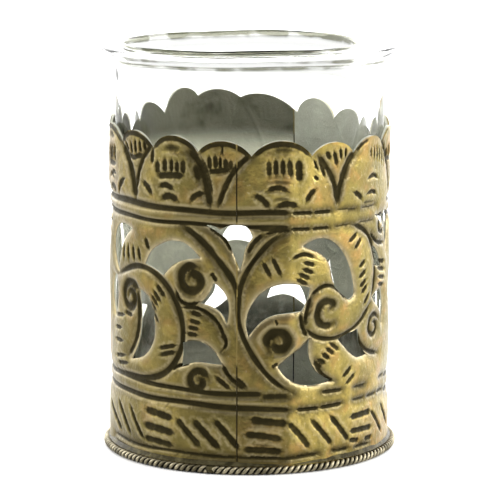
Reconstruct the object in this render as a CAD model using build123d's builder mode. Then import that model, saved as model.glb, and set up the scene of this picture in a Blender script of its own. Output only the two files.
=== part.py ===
"""Tealight holder: a clear glass cup that lifts out of a pierced and chased brass sleeve.

Millimetres, +Z up. The origin is the centre of the underside, and the front of the holder faces -Y.
Places on the rolled sheet are given flat, as the maker draws them: s along the outside of the sheet,
counted from the front and growing towards +X, and z up from the underside.
"""

import os
from math import cos, degrees, pi, sin

from build123d import *

# Overall sizes
OVERALL_HEIGHT = 101.0
PLATE_THICKNESS = 1.0
SLEEVE_RADIUS = 34.5
SHEET_THICKNESS = 0.8
SLEEVE_LENGTH = 2 * pi * SLEEVE_RADIUS

# Foot: a ring of wire round the plate, its ends closed by a lump of solder
WIRE_RADIUS = 1.0
LUMP_PLACE = -9.2
LUMP_LENGTH = 2.4
FOOT_SOLDER_RISE = 0.9
FOOT_SOLDER_WIDTH = 0.7
PLATE_SOLDER_LEG = 0.45

# Seams, as places along the sheet
FRONT_SEAM = -3.0
BACK_SEAM = 95.9
SEAM_WIDTH = 0.35

# Scalloped top, hand cut: where each dip between petals is, how high, and the tip of the petal after it
SCALLOPS = [
    (-37.8, 77.4, 81.0),
    (-25.3, 77.2, 80.8),
    (-12.5, 77.1, 80.0),
    (0.5, 76.4, 80.0),
    (15.3, 76.0, 79.0),
    (28.0, 75.7, 79.3),
    (41.5, 76.0, 80.2),
    (55.2, 77.0, 81.2),
    (69.0, 78.0, 82.2),
    (82.9, 78.6, 84.0),
    (94.9, 79.6, 83.9),
    (110.6, 83.0, 85.0),
    (122.4, 83.0, 85.0),
    (134.1, 79.2, 82.4),
    (149.0, 78.4, 81.6),
    (164.0, 77.8, 81.2),
]
SHEET_TOP = 85.0

# Openwork: roundels that repeat along the strip
ROUNDEL_PITCH = 48.2
ROUNDEL_HEIGHT = 39.5
FIRST_BOUNDARY = -2.7
CUTTER_RADIUS = 30.0
CUTTER_DEPTH = 8.0

# Glass cup
GLASS_RADIUS = 33.1
GLASS_FOOT_ROUND = 2.0
GLASS_BORE = 28.6
GLASS_FLOOR = 7.0
GLASS_FLOOR_ROUND = 4.0
LIP_RADIUS = 36.9
LIP_START = 94.8
# The lip's section, as (radius, height): out from the wall to its widest, and up over its shoulder to the bore
LIP_FLARE = (35.5, 97.8)
LIP_WIDEST = (LIP_RADIUS, 99.2)
LIP_SHOULDER = (36.0, 100.0)
LIP_CREST = (30.0, OVERALL_HEIGHT)
BORE_TOP = (GLASS_BORE, 99.7)

# Each opening is a closed run of edges, and each edge the points that a smooth curve passes through.
# Points are (along, up) from the middle of the roundel.
SCROLL_ROUNDEL = [
    [  # crescent over the comma leaf
        [(-8.4, 15.1), (-3.9, 16.7), (0.6, 15.3), (4.9, 10.5), (7.0, 5.0), (6.8, 1.6), (5.1, 0.9)],
        [(5.1, 0.9), (2.8, 2.9), (0.6, 4.8)],
        [(0.6, 4.8), (-0.2, 7.3), (-1.1, 10.5), (-3.6, 13.0), (-8.4, 15.1)],
    ],
    [  # crescent over the lower scroll
        [(-21.7, -6.3), (-22.2, -3.5), (-20.9, 1.5), (-17.9, 4.7), (-13.4, 6.3), (-6.4, 5.1)],
        [(-6.4, 5.1), (-7.0, 2.3), (-8.6, -0.5)],
        [(-8.6, -0.5), (-11.9, -0.8), (-16.4, -1.5), (-19.4, -3.5), (-21.7, -6.3)],
    ],
    [  # crescent under the lower scroll
        [(-14.7, -13.5), (-11.9, -11.2), (-8.9, -9.2), (-6.6, -6.9)],
        [(-6.6, -6.9), (-6.8, -11.0), (-4.9, -15.1), (-0.4, -18.0)],
        [(-0.4, -18.0), (-5.4, -18.7), (-10.4, -17.7), (-13.4, -15.5), (-14.7, -13.5)],
    ],
    [  # gap between the comma leaf and the bottom leaf
        [(1.6, -8.2), (5.1, -7.3), (8.8, -6.5)],
        [(8.8, -6.5), (9.9, -10.5), (12.4, -13.5)],
        [(12.4, -13.5), (8.1, -13.5), (4.6, -11.2), (1.6, -8.2)],
    ],
    [  # gap over the side leaf
        [(15.0, 13.0), (18.2, 10.6), (20.4, 7.2)],
        [(20.4, 7.2), (18.2, 7.3), (16.3, 7.9)],
        [(16.3, 7.9), (15.9, 10.5), (15.0, 13.0)],
    ],
    [  # gap under the side leaf, round the side scroll
        [(15.2, 0.2), (17.8, 1.2), (21.0, 1.8)],
        [(21.0, 1.8), (22.2, -2.0), (21.2, -7.5)],
        [(21.2, -7.5), (20.6, -4.8), (18.9, -2.6), (16.8, -1.4), (15.2, 0.2)],
    ],
]
LEAF_ROUNDEL = [
    [  # gap over the upper scroll
        [(-1.5, 9.5), (0.3, 12.5), (3.8, 14.9), (7.8, 16.1), (11.8, 15.1), (14.8, 12.3)],
        [(14.8, 12.3), (10.8, 11.7), (7.3, 10.1), (4.5, 7.3)],
        [(4.5, 7.3), (1.8, 8.6), (-1.5, 9.5)],
    ],
    [  # gap under the upper scroll
        [(14.8, 1.5), (16.8, 3.7), (18.2, 6.6)],
        [(18.2, 6.6), (20.6, 4.4), (21.8, 1.0), (21.3, -3.2)],
        [(21.3, -3.2), (20.2, -1.1), (17.8, 0.7), (14.8, 1.5)],
    ],
    [  # gap over the bottom scroll
        [(9.8, -8.5), (13.3, -7.7), (17.3, -9.1), (20.3, -13.1)],
        [(20.3, -13.1), (17.3, -13.0), (13.3, -12.9), (9.5, -14.3)],
        [(9.5, -14.3), (10.1, -11.5), (9.8, -8.5)],
    ],
    [  # crescent inside the big comma leaf
        [(-3.9, 3.2), (-0.6, 1.4), (1.1, -2.0), (1.5, -5.5), (0.6, -9.8), (-2.2, -12.9), (-7.7, -14.7)],
        [(-7.7, -14.7), (-5.2, -11.5), (-3.8, -8.0), (-3.3, -4.0), (-3.4, -0.5), (-3.9, 3.2)],
    ],
    [  # gap beside the fan leaf
        [(-7.0, 17.4), (-11.0, 18.2), (-15.0, 17.2), (-17.6, 14.0), (-17.2, 9.8), (-14.6, 6.0)],
        [(-14.6, 6.0), (-13.4, 10.5), (-11.2, 14.0), (-7.0, 17.4)],
    ],
    [  # gap beside the big comma leaf
        [(-16.0, 4.6), (-15.2, 2.0), (-15.6, -2.0), (-17.5, -5.5)],
        [(-17.5, -5.5), (-19.8, -2.0), (-19.9, 2.0), (-18.2, 4.6)],
        [(-18.2, 4.6), (-17.1, 4.9), (-16.0, 4.6)],
    ],
]


def shifted(opening, along, up=0.0):
    """An opening's edges moved along the strip and up."""
    return [[(s + along, z + up) for s, z in edge] for edge in opening]


# The two roundels that stand at the back are cut a little differently by hand
BACK_SCROLL_ROUNDEL = [shifted(SCROLL_ROUNDEL[0], 6.0), *SCROLL_ROUNDEL[3:]]
BACK_LEAF_ROUNDEL = [LEAF_ROUNDEL[0], *LEAF_ROUNDEL[2:]]
# Openings round the half roundel beside the back seam
BACK_ROUNDEL = [
    [  # arched crescent across the seam
        [(-13.9, -11.1), (-11.2, -9.5), (-7.7, -8.2), (-4.7, -8.5), (-2.3, -9.3)],
        [(-2.3, -9.3), (-3.7, -6.0), (-7.2, -3.9), (-11.2, -5.3), (-13.9, -11.1)],
    ],
    [  # cap under the spandrel
        [(1.5, 5.1), (6.1, 6.1), (10.9, 5.4)],
        [(10.9, 5.4), (8.8, 9.3), (5.8, 10.5), (3.1, 9.1), (1.5, 5.1)],
    ],
    [  # three-cornered gap towards the next roundel
        [(8.9, -9.5), (10.6, -6.0), (12.1, -4.5)],
        [(12.1, -4.5), (12.8, -7.5), (15.1, -10.0), (16.5, -11.9)],
        [(16.5, -11.9), (13.1, -12.0), (8.9, -9.5)],
    ],
    [  # flame between the leaves
        [(-23.1, -5.4), (-21.2, -4.6), (-20.3, -2.3), (-20.7, 0.3), (-21.8, 2.5)],
        [(-21.8, 2.5), (-22.3, 0.0), (-23.1, -2.5), (-23.5, -4.2), (-23.1, -5.4)],
    ],
]
# The opening between two roundels, from their shared boundary
SPANDREL = [
    [(-7.9, 20.3), (-5.8, 20.1), (-4.3, 19.4)],
    [(-4.3, 19.4), (-2.5, 20.2), (-0.3, 20.5), (1.9, 20.1), (3.6, 17.8)],
    [(3.6, 17.8), (2.6, 16.4), (1.7, 14.9), (1.2, 12.8), (0.4, 9.8)],
    [(0.4, 9.8), (-0.5, 12.0), (-1.5, 14.5), (-2.5, 16.7), (-4.6, 18.4), (-7.9, 20.3)],
]


def wall_plane(s, radius=CUTTER_RADIUS):
    """The upright plane that faces outwards at the place s along the sheet."""
    turn = s / SLEEVE_RADIUS
    return Plane(
        origin=(radius * sin(turn), -radius * cos(turn), 0),
        x_dir=(cos(turn), sin(turn), 0),
        z_dir=(sin(turn), -cos(turn), 0),
    )


def radial_plane(s):
    """The upright plane through the axis and the place s along the sheet."""
    turn = s / SLEEVE_RADIUS
    return Plane(origin=(0, 0, 0), x_dir=(sin(turn), -cos(turn), 0), z_dir=(-cos(turn), -sin(turn), 0))


def across(distance):
    """A distance along the sheet, as it shows straight on from the wall plane."""
    return SLEEVE_RADIUS * sin(distance / SLEEVE_RADIUS)


def cut_opening(middle, edges):
    """Cuts one opening of the openwork, drawn round the middle of its roundel, in the part being built."""
    along = [point[0] for edge in edges for point in edge]
    centre = (min(along) + max(along)) / 2
    with BuildSketch(wall_plane(middle + centre)) as outline:
        with BuildLine():
            for edge in edges:
                Spline(*[(across(u - centre), ROUNDEL_HEIGHT + v) for u, v in edge])
        make_face()
    extrude(outline.sketch, amount=CUTTER_DEPTH, mode=Mode.SUBTRACT)


def cut_petal_top(dip, next_dip):
    """Rounds the top of the petal that stands between two dips, in the part being built."""
    left, left_height, tip_height = dip
    right, right_height, _ = next_dip
    half = across((right - left) / 2)
    left_end = (-half, left_height)
    right_end = (half, right_height)
    above = SHEET_TOP + 2
    with BuildSketch(wall_plane((left + right) / 2)) as outline:
        with BuildLine():
            ThreePointArc(left_end, (0, tip_height), right_end)
            Polyline(right_end, (half, above), (-half, above), left_end)
        make_face()
    extrude(outline.sketch, amount=CUTTER_DEPTH, mode=Mode.SUBTRACT)


def turn_sector(section, start, end, mode):
    """Sweeps a section from one place along the sheet to another, about the upright axis."""
    revolve(section, axis=Axis.Z, revolution_arc=degrees((end - start) / SLEEVE_RADIUS), mode=mode)


def keep_sector(start, end):
    """Keeps what lies between two places along the sheet, of the part being built."""
    with BuildSketch(radial_plane(start)) as section:
        Rectangle(2 * SLEEVE_RADIUS, OVERALL_HEIGHT, align=(Align.MIN, Align.MIN))
    turn_sector(section.sketch, start, end, Mode.INTERSECT)


def wire_ring(start, end):
    """Adds a stretch of the round wire that hugs the foot of the sleeve, to the part being built."""
    with BuildSketch(radial_plane(start)) as section:
        with Locations((SLEEVE_RADIUS + WIRE_RADIUS, WIRE_RADIUS)):
            Circle(WIRE_RADIUS)
    turn_sector(section.sketch, start, end, Mode.ADD)


def solder_ring(corner, width, rise):
    """Adds a solder ring of three-cornered section, from a corner (radius, height), to the part being built."""
    radius, height = corner
    with BuildSketch(radial_plane(0)) as section:
        with BuildLine():
            Polyline(corner, (radius + width, height), (radius, height + rise), close=True)
        make_face()
    revolve(section.sketch, axis=Axis.Z)


def save(piece, name):
    """Labels a finished piece and writes it as parts/NAME.step."""
    piece.label = name
    export_step(piece, f"parts/{name}.step")


# The whole rolled sheet, before it is parted at its two seams
with BuildPart() as sleeve:
    with BuildSketch(Plane.XY.offset(PLATE_THICKNESS)):
        Circle(SLEEVE_RADIUS)
        Circle(SLEEVE_RADIUS - SHEET_THICKNESS, mode=Mode.SUBTRACT)
    extrude(amount=SHEET_TOP + 1 - PLATE_THICKNESS)
    first_dip, first_height, _ = SCALLOPS[0]
    closing_dip = (first_dip + SLEEVE_LENGTH, first_height, 0)
    for dip, next_dip in zip(SCALLOPS, SCALLOPS[1:] + [closing_dip]):
        cut_petal_top(dip, next_dip)
    # The strip holds four whole roundels, and a half one beside the back seam
    roundels = ((-2, BACK_SCROLL_ROUNDEL), (-1, LEAF_ROUNDEL), (0, SCROLL_ROUNDEL), (1, BACK_LEAF_ROUNDEL))
    for step, openings in roundels:
        for opening in openings:
            cut_opening(FIRST_BOUNDARY + ROUNDEL_PITCH * (step + 0.5), opening)
    for step in (-2, -1, 0, 1):
        cut_opening(FIRST_BOUNDARY + ROUNDEL_PITCH * step, SPANDREL)
    last_boundary = FIRST_BOUNDARY - 2 * ROUNDEL_PITCH
    first_boundary = FIRST_BOUNDARY + 2 * ROUNDEL_PITCH - SLEEVE_LENGTH
    for opening in BACK_ROUNDEL:
        cut_opening((first_boundary + last_boundary) / 2, opening)

FRONT_LEFT, FRONT_RIGHT = FRONT_SEAM - SEAM_WIDTH / 2, FRONT_SEAM + SEAM_WIDTH / 2
BACK_LEFT, BACK_RIGHT = BACK_SEAM - SEAM_WIDTH / 2, BACK_SEAM + SEAM_WIDTH / 2

with BuildPart() as sleeve_panel_right:
    add(sleeve.part)
    keep_sector(FRONT_RIGHT, BACK_LEFT)

with BuildPart() as sleeve_panel_left:
    add(sleeve.part)
    keep_sector(BACK_RIGHT - SLEEVE_LENGTH, FRONT_LEFT)

with BuildPart() as front_seam_solder:
    add(sleeve.part)
    keep_sector(FRONT_LEFT, FRONT_RIGHT)

with BuildPart() as back_seam_solder:
    add(sleeve.part)
    keep_sector(BACK_LEFT, BACK_RIGHT)

# Disc that closes the sleeve, level with its outside
with BuildPart() as base_plate:
    with BuildSketch():
        Circle(SLEEVE_RADIUS)
    extrude(amount=PLATE_THICKNESS)

# Solder run inside the corner of plate and sleeve
with BuildPart() as base_solder:
    solder_ring((SLEEVE_RADIUS - SHEET_THICKNESS, PLATE_THICKNESS), -PLATE_SOLDER_LEG, PLATE_SOLDER_LEG)

LUMP_LEFT, LUMP_RIGHT = LUMP_PLACE - LUMP_LENGTH / 2, LUMP_PLACE + LUMP_LENGTH / 2

with BuildPart() as foot_wire:
    wire_ring(LUMP_RIGHT - SLEEVE_LENGTH, LUMP_LEFT)

with BuildPart() as foot_wire_lump:
    wire_ring(LUMP_LEFT, LUMP_RIGHT)

# Solder run outside, over the wire
with BuildPart() as foot_solder:
    solder_ring((SLEEVE_RADIUS, 2 * WIRE_RADIUS), FOOT_SOLDER_WIDTH, FOOT_SOLDER_RISE)

# Glass cup, standing on the plate: straight wall, rolled and flared lip
with BuildPart() as glass_cup:
    with BuildSketch(radial_plane(0)):
        with BuildLine():
            foot = PLATE_THICKNESS
            Polyline((0, GLASS_FLOOR), (0, foot), (GLASS_RADIUS - GLASS_FOOT_ROUND, foot))
            RadiusArc(
                (GLASS_RADIUS - GLASS_FOOT_ROUND, foot),
                (GLASS_RADIUS, foot + GLASS_FOOT_ROUND),
                -GLASS_FOOT_ROUND,
            )
            Line((GLASS_RADIUS, foot + GLASS_FOOT_ROUND), (GLASS_RADIUS, LIP_START))
            Spline(
                (GLASS_RADIUS, LIP_START),
                LIP_FLARE,
                LIP_WIDEST,
                tangents=((0, 1), (0, 1)),
            )
            Spline(
                LIP_WIDEST,
                LIP_SHOULDER,
                LIP_CREST,
                tangents=((0, 1), (-1, 0)),
            )
            Spline(
                LIP_CREST,
                BORE_TOP,
                tangents=((-1, 0), (0, -1)),
            )
            Line(BORE_TOP, (GLASS_BORE, GLASS_FLOOR + GLASS_FLOOR_ROUND))
            RadiusArc(
                (GLASS_BORE, GLASS_FLOOR + GLASS_FLOOR_ROUND),
                (GLASS_BORE - GLASS_FLOOR_ROUND, GLASS_FLOOR),
                GLASS_FLOOR_ROUND,
            )
            Line((GLASS_BORE - GLASS_FLOOR_ROUND, GLASS_FLOOR), (0, GLASS_FLOOR))
        make_face()
    revolve(axis=Axis.Z)

os.makedirs("parts", exist_ok=True)
save(glass_cup.part, "glass_cup")
save(sleeve_panel_left.part, "sleeve_panel_left")
save(sleeve_panel_right.part, "sleeve_panel_right")
save(front_seam_solder.part, "front_seam_solder")
save(back_seam_solder.part, "back_seam_solder")
save(base_plate.part, "base_plate")
save(base_solder.part, "base_solder")
save(foot_wire.part, "foot_wire")
save(foot_wire_lump.part, "foot_wire_lump")
save(foot_solder.part, "foot_solder")
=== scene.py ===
"""Tealight holder: a clear glass cup in a pierced, chased and antiqued brass sleeve on a twisted wire foot.

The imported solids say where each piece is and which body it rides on. The sheet, the wire and the cup are
rebuilt here in full detail. Designs on the sheet are drawn flat and in millimetres: s runs along the outside
of the sheet from the front towards +X, and z runs up. Everything that reaches Blender is in metres.
"""

from __future__ import annotations

import logging
import math
from collections.abc import Iterable
from dataclasses import dataclass, field, replace
from enum import Enum
from typing import Union

import bpy
import numpy as np
from mathutils import Euler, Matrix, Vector
from mathutils.geometry import delaunay_2d_cdt

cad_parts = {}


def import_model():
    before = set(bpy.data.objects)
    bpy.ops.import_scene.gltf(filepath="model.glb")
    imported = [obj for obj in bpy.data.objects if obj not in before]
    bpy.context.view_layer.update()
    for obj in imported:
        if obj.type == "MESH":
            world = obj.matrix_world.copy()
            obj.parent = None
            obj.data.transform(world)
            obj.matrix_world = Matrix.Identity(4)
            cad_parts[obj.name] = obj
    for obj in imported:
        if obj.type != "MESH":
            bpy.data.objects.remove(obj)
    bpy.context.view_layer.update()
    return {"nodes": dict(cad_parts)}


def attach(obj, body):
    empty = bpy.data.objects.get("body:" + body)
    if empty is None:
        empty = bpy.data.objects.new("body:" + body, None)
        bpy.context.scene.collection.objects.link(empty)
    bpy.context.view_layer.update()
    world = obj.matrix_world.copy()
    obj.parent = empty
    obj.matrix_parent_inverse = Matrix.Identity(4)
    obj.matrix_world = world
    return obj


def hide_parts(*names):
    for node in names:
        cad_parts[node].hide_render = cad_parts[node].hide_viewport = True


LOG = logging.getLogger("tealight_holder")
MM = 0.001

Point = tuple[float, float]
Colour = tuple[float, float, float]
Line = tuple[Point, ...]
Reach = Union[float, np.ndarray]


class Body(Enum):
    """The two bodies that the pieces ride on."""

    SLEEVE = "sleeve"
    GLASS = "glass"


class Slot(Enum):
    """The record's material slots."""

    GLASS = "glass"
    BRASS = "antiqued_brass"
    WIRE = "wire"
    SOLDER = "solder"


# ------------ Shader maths ------------


class Signal:
    """The output of a shader node. Arithmetic on it adds Math nodes."""

    def __init__(self, desk: NodeDesk, socket: bpy.types.NodeSocket) -> None:
        """Wraps a socket of a node that stands on a desk."""
        self.desk = desk
        self.socket = socket

    def _math(self, operation: str, *values: Value) -> Signal:
        """Adds a Math node.

        Args:
            operation: the node's operation.
            values: its inputs, in order.

        Returns:
            The node's result.
        """
        return self.desk.node("ShaderNodeMath", {"operation": operation}, dict(enumerate(values)))

    def __add__(self, other: Value) -> Signal:
        """self + other."""
        return self._math("ADD", self, other)

    def __radd__(self, other: Value) -> Signal:
        """other + self."""
        return self._math("ADD", other, self)

    def __sub__(self, other: Value) -> Signal:
        """self - other."""
        return self._math("SUBTRACT", self, other)

    def __rsub__(self, other: Value) -> Signal:
        """other - self."""
        return self._math("SUBTRACT", other, self)

    def __mul__(self, other: Value) -> Signal:
        """self * other."""
        return self._math("MULTIPLY", self, other)

    def fade(self, low: float, high: float) -> Signal:
        """A smooth climb from 0 where the signal is low to 1 where it is high."""
        values = {"Value": self, "From Min": low, "From Max": high}
        return self.desk.node("ShaderNodeMapRange", {"interpolation_type": "SMOOTHSTEP"}, values)

    def output(self, name: str) -> Signal:
        """Another output of the same node."""
        return Signal(self.desk, self.socket.node.outputs[name])


Value = Union[float, Colour, Signal]


class NodeDesk:
    """Lays out the nodes of one material, or of the world."""

    def __init__(self, owner: Union[bpy.types.Material, bpy.types.World]) -> None:
        """Clears the owner's nodes."""
        owner.use_nodes = True
        self.owner = owner
        self.tree = owner.node_tree
        self.tree.nodes.clear()

    def node(self, kind: str, settings: dict | None = None, values: dict | None = None,
             out: int | None = 0) -> Signal | None:
        """Adds a node.

        Args:
            kind: the node's type.
            settings: the node's own properties, set first.
            values: numbers, colours or signals, by the name or index of the socket they go to.
            out: which output is wanted, if any.

        Returns:
            The wanted output.
        """
        node = self.tree.nodes.new(kind)
        for key, setting in (settings or {}).items():
            setattr(node, key, setting)
        for key, value in (values or {}).items():
            if isinstance(value, Signal):
                self.tree.links.new(value.socket, node.inputs[key])
            elif isinstance(value, tuple) and node.inputs[key].type == "RGBA":
                node.inputs[key].default_value = (*value, 1.0)
            else:
                node.inputs[key].default_value = value
        return None if out is None else Signal(self, node.outputs[out])

    def mix(self, factor: Value, first: Value, second: Value) -> Signal:
        """The first colour where the factor is 0, the second where it is 1."""
        return self.node("ShaderNodeMix", {"data_type": "RGBA"}, {0: factor, 6: first, 7: second}, out=2)

    def blend(self, factor: Value, first: Value, second: Value) -> Signal:
        """The first number where the factor is 0, the second where it is 1."""
        return self.node("ShaderNodeMix", None, {0: factor, 2: first, 3: second})

    def place(self) -> Signal:
        """The point on the piece, in the frame that all pieces share."""
        return self.node("ShaderNodeTexCoord", out=3)

    def attribute(self, name: str) -> Signal:
        """A number that the mesh carries at each of its points."""
        return self.node("ShaderNodeAttribute", {"attribute_name": name}, out=2)

    def noise(self, scale: float, detail: float = 3.0, distortion: float = 0.0) -> Signal:
        """Soft noise in space, from 0 to 1, with features about 1 / scale metres across."""
        values = {"Vector": self.place(), "Scale": scale, "Detail": detail, "Distortion": distortion}
        return self.node("ShaderNodeTexNoise", None, values)

    def bump(self, height: Signal, distance: float) -> Signal:
        """A normal that leans with a height, whose full climb is the distance in metres."""
        return self.node("ShaderNodeBump", None, {"Height": height, "Distance": distance, "Strength": 1.0})

    def finish(self, values: dict, shader: str = "ShaderNodeBsdfPrincipled",
               output: str = "ShaderNodeOutputMaterial") -> bpy.types.ID:
        """Adds the shader and sends it to the surface.

        Args:
            values: numbers, colours or signals, by the name of the shader's input.
            shader: the shader node's type.
            output: the output node's type.

        Returns:
            The finished material or world.
        """
        self.node(output, None, {"Surface": self.node(shader, None, values)}, out=None)
        return self.owner


# ------------ Finishes ------------


@dataclass(frozen=True)
class AntiquedBrass:
    """Sheet brass, darkened with a liquor that stays in the chased lines, then rubbed back."""

    gold: Colour = (0.345, 0.262, 0.070)
    olive: Colour = (0.185, 0.152, 0.046)
    copper: Colour = (0.32, 0.190, 0.062)
    pale: Colour = (0.68, 0.58, 0.36)
    haze: Colour = (0.072, 0.056, 0.018)
    grime: Colour = (0.027, 0.022, 0.009)
    bare_lining: Colour = (0.36, 0.365, 0.30)
    dull_lining: Colour = (0.78, 0.78, 0.62)
    dark_lining: Colour = (0.040, 0.037, 0.018)

    def material(self) -> bpy.types.Material:
        """Makes the finish from the groove, rise, rim and lining that the sheet's mesh carries."""
        desk = NodeDesk(bpy.data.materials.new("antiqued_brass"))
        groove, rise = desk.attribute("groove"), desk.attribute("rise")
        rim, lining, tarnish_and_shade = desk.attribute("rim"), desk.attribute("lining"), desk.attribute("tarnish_and_shade")
        clouds, blots = desk.noise(42, 4.0), desk.noise(95, 5.0, 0.8)
        mottle, specks, grain = desk.noise(260, 5.0, 0.6), desk.noise(1100, 3.0), desk.noise(2800, 2.0)
        height = desk.node("ShaderNodeSeparateXYZ", None, {0: desk.place()}, out=2)

        # The outside: large clouds and blots of colour, then fine marks, haze, tarnish with painted shade in
        # it, rubbed edges with painted highlights on the stroke lips, and dark grooves
        tone = desk.mix(clouds.fade(0.36, 0.60), self.olive, self.gold)
        tone = desk.mix(blots.fade(0.46, 0.62) * 0.8, tone, self.copper)
        tone = desk.mix(mottle.fade(0.40, 0.60) * 0.65, tone, self.olive)
        tone = desk.mix(specks.fade(0.60, 0.78) * rise.fade(0.3, 0.8) * 0.4, tone, self.pale)
        tone = desk.mix((1 - rise.fade(0.0, 0.72)) * (0.60 + mottle * 0.7), tone, self.haze)
        # More haze where the sheet is dull: real tarnish and painted shade, darkest at the front left and
        # least on the lighter stretch beyond the crease
        tone = desk.mix(tarnish_and_shade * (0.25 + blots.fade(0.35, 0.65) * 0.25 + mottle * 0.5), tone, self.haze)
        tone = desk.mix((1 - blots).fade(0.50, 0.64) * (0.12 + tarnish_and_shade * 0.38), tone, self.haze)
        # Pale on the rims: rubbed round the openings, and a painted highlight on the lips of the strokes
        tone = desk.mix(rim * (0.1 + mottle * 0.75), tone, self.pale)
        dark = (groove + (specks - 0.5) * 0.35 * groove).fade(0.08, 0.75)
        tone = desk.mix((1 - specks).fade(0.52, 0.66) * (0.10 + mottle * 0.25), tone, self.haze)
        tone = desk.mix(dark * (0.7 + mottle * 0.6), tone, self.grime)

        # The lining: dull metal, barer on one panel, darker in a band above the foot and stained near the
        # petals
        stained = lining.fade(0.6, 0.95) * height.fade(0.068, 0.076)
        blotch = (blots * 0.6 + mottle * 0.4 + specks * 0.2).fade(0.40, 0.66)
        bare = (1 - lining.fade(0.6, 0.95)) * height.fade(0.030, 0.058)
        back = desk.mix(bare, self.dull_lining, self.bare_lining)
        dark_band = height.fade(0.015, 0.022) * (1 - height.fade(0.025, 0.036))
        back = desk.mix(dark_band * (0.35 + blotch * 0.5), back, self.dark_lining)
        back = desk.mix(stained * (1 - blotch * 0.12), back, self.dark_lining)
        back = desk.mix(blotch * 0.2, back, self.dark_lining)
        within = lining.fade(0.1, 0.4)
        tone = desk.mix(within, tone, back)

        roughness = 0.33 + (mottle - 0.5) * 0.26 + dark * 0.3 + within * 0.2 + tarnish_and_shade * 0.06
        relief = blots * 0.5 + mottle * 0.7 + specks * 0.25 + grain * 0.1
        return desk.finish({
            "Base Color": tone,
            "Metallic": 1 - within * (0.75 - stained * 0.55),
            "Roughness": roughness,
            "Normal": desk.bump(relief, 0.00040),
        })


@dataclass(frozen=True)
class AntiquedWire:
    """Drawn brass wire, dark where its strands lie together, as patina and painted shade, and left bright on
    the outside of the twist.
    """

    bright: Colour = (0.34, 0.30, 0.20)
    dull: Colour = (0.10, 0.086, 0.05)
    # Patina and painted shade between the strands
    grime: Colour = (0.012, 0.010, 0.006)

    def material(self) -> bpy.types.Material:
        """Makes the finish from the depth in the twist that the strand's mesh carries."""
        desk = NodeDesk(bpy.data.materials.new("antiqued_wire"))
        twist = desk.attribute("twist")
        mottle, grain = desk.noise(220, 4.0), desk.noise(2400, 2.0)
        tone = desk.mix(mottle.fade(0.35, 0.65), self.bright, self.dull)
        # Nearly black on the inner sides of the strands: patina and painted shade where they lie together
        tone = desk.mix(1 - twist.fade(0.74, 0.98), tone, self.grime)
        return desk.finish({
            "Base Color": tone,
            "Metallic": 0.6 + twist * 0.4,
            "Roughness": 0.34 + mottle * 0.2,
            "Normal": desk.bump(grain, 0.00008),
        })


@dataclass(frozen=True)
class DarkSolder:
    """Soft solder that the darkening liquor has turned dull and nearly black."""

    light: Colour = (0.070, 0.060, 0.030)
    dark: Colour = (0.026, 0.022, 0.011)

    def material(self) -> bpy.types.Material:
        """Makes the finish from noise in space."""
        desk = NodeDesk(bpy.data.materials.new("dark_solder"))
        lumps, grain = desk.noise(420, 4.0, 0.5), desk.noise(1800, 3.0)
        return desk.finish({
            "Base Color": desk.mix(lumps.fade(0.38, 0.66), self.dark, self.light),
            "Metallic": 1.0,
            "Roughness": 0.42 + grain * 0.25,
            "Normal": desk.bump(lumps * 0.7 + grain * 0.3, 0.0003),
        })


@dataclass(frozen=True)
class SeamSolder:
    """Hard solder in a seam: brass-coloured where it was filed flush, black where it sank."""

    flush: Colour = (0.17, 0.13, 0.045)
    sunk: Colour = (0.030, 0.024, 0.011)

    def material(self) -> bpy.types.Material:
        """Makes the finish from how far the seam sinks, which its mesh carries."""
        desk = NodeDesk(bpy.data.materials.new("seam_solder"))
        sunk, lumps = desk.attribute("sunk"), desk.noise(420, 4.0, 0.5)
        return desk.finish({
            "Base Color": desk.mix((sunk + (lumps - 0.5) * 0.5).fade(0.2, 0.8), self.flush, self.sunk),
            "Metallic": 1.0,
            "Roughness": 0.40 + lumps * 0.2,
            "Normal": desk.bump(lumps, 0.0003),
        })


@dataclass(frozen=True)
class TurnedPlate:
    """The disc under the sleeve: plain brass with the rings that spinning leaves, worn where it stands."""

    brass: Colour = (0.42, 0.32, 0.13)
    haze: Colour = (0.16, 0.125, 0.055)

    def material(self) -> bpy.types.Material:
        """Makes the finish from noise and from rings round the upright axis."""
        desk = NodeDesk(bpy.data.materials.new("turned_plate"))
        clouds, grain = desk.noise(60, 4.0), desk.noise(1500, 3.0)
        settings = {"wave_type": "RINGS", "rings_direction": "Z"}
        values = {"Vector": desk.place(), "Scale": 160.0, "Distortion": 0.6}
        rings = desk.node("ShaderNodeTexWave", settings, values)
        return desk.finish({
            "Base Color": desk.mix(clouds.fade(0.35, 0.65), self.brass, self.haze),
            "Metallic": 1.0,
            "Roughness": 0.32 + grain * 0.25,
            "Normal": desk.bump(rings * 0.6 + grain * 0.4, 0.00006),
        })


@dataclass(frozen=True)
class ClearGlass:
    """Clear glass, with dark grey-green painted along its thick edges: a little the tint of thick glass,
    mostly painted shade and reflection.
    """

    clear: Colour = (0.985, 0.99, 0.975)
    # Painted shade and reflection on the thick edges, over a little grey-green tint
    edge: Colour = (0.085, 0.088, 0.055)

    def material(self) -> bpy.types.Material:
        """Makes the finish from the painted edge shade that the cup's mesh carries."""
        desk = NodeDesk(bpy.data.materials.new("clear_glass"))
        edge = desk.attribute("edge")
        streaks, ripple = desk.noise(70, 3.0, 1.2), desk.noise(45, 1.0)
        strength = (edge * (0.55 + streaks.fade(0.38, 0.62) * 0.6)).fade(0.05, 1.0)
        return desk.finish({
            "Base Color": desk.mix(strength, self.clear, self.edge),
            "Roughness": 0.0,
            "IOR": 1.12,
            "Transmission Weight": 1.0,
            "Normal": desk.bump(ripple, 0.0006),
        })


# ------------ Lines on the flat sheet ------------


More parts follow.
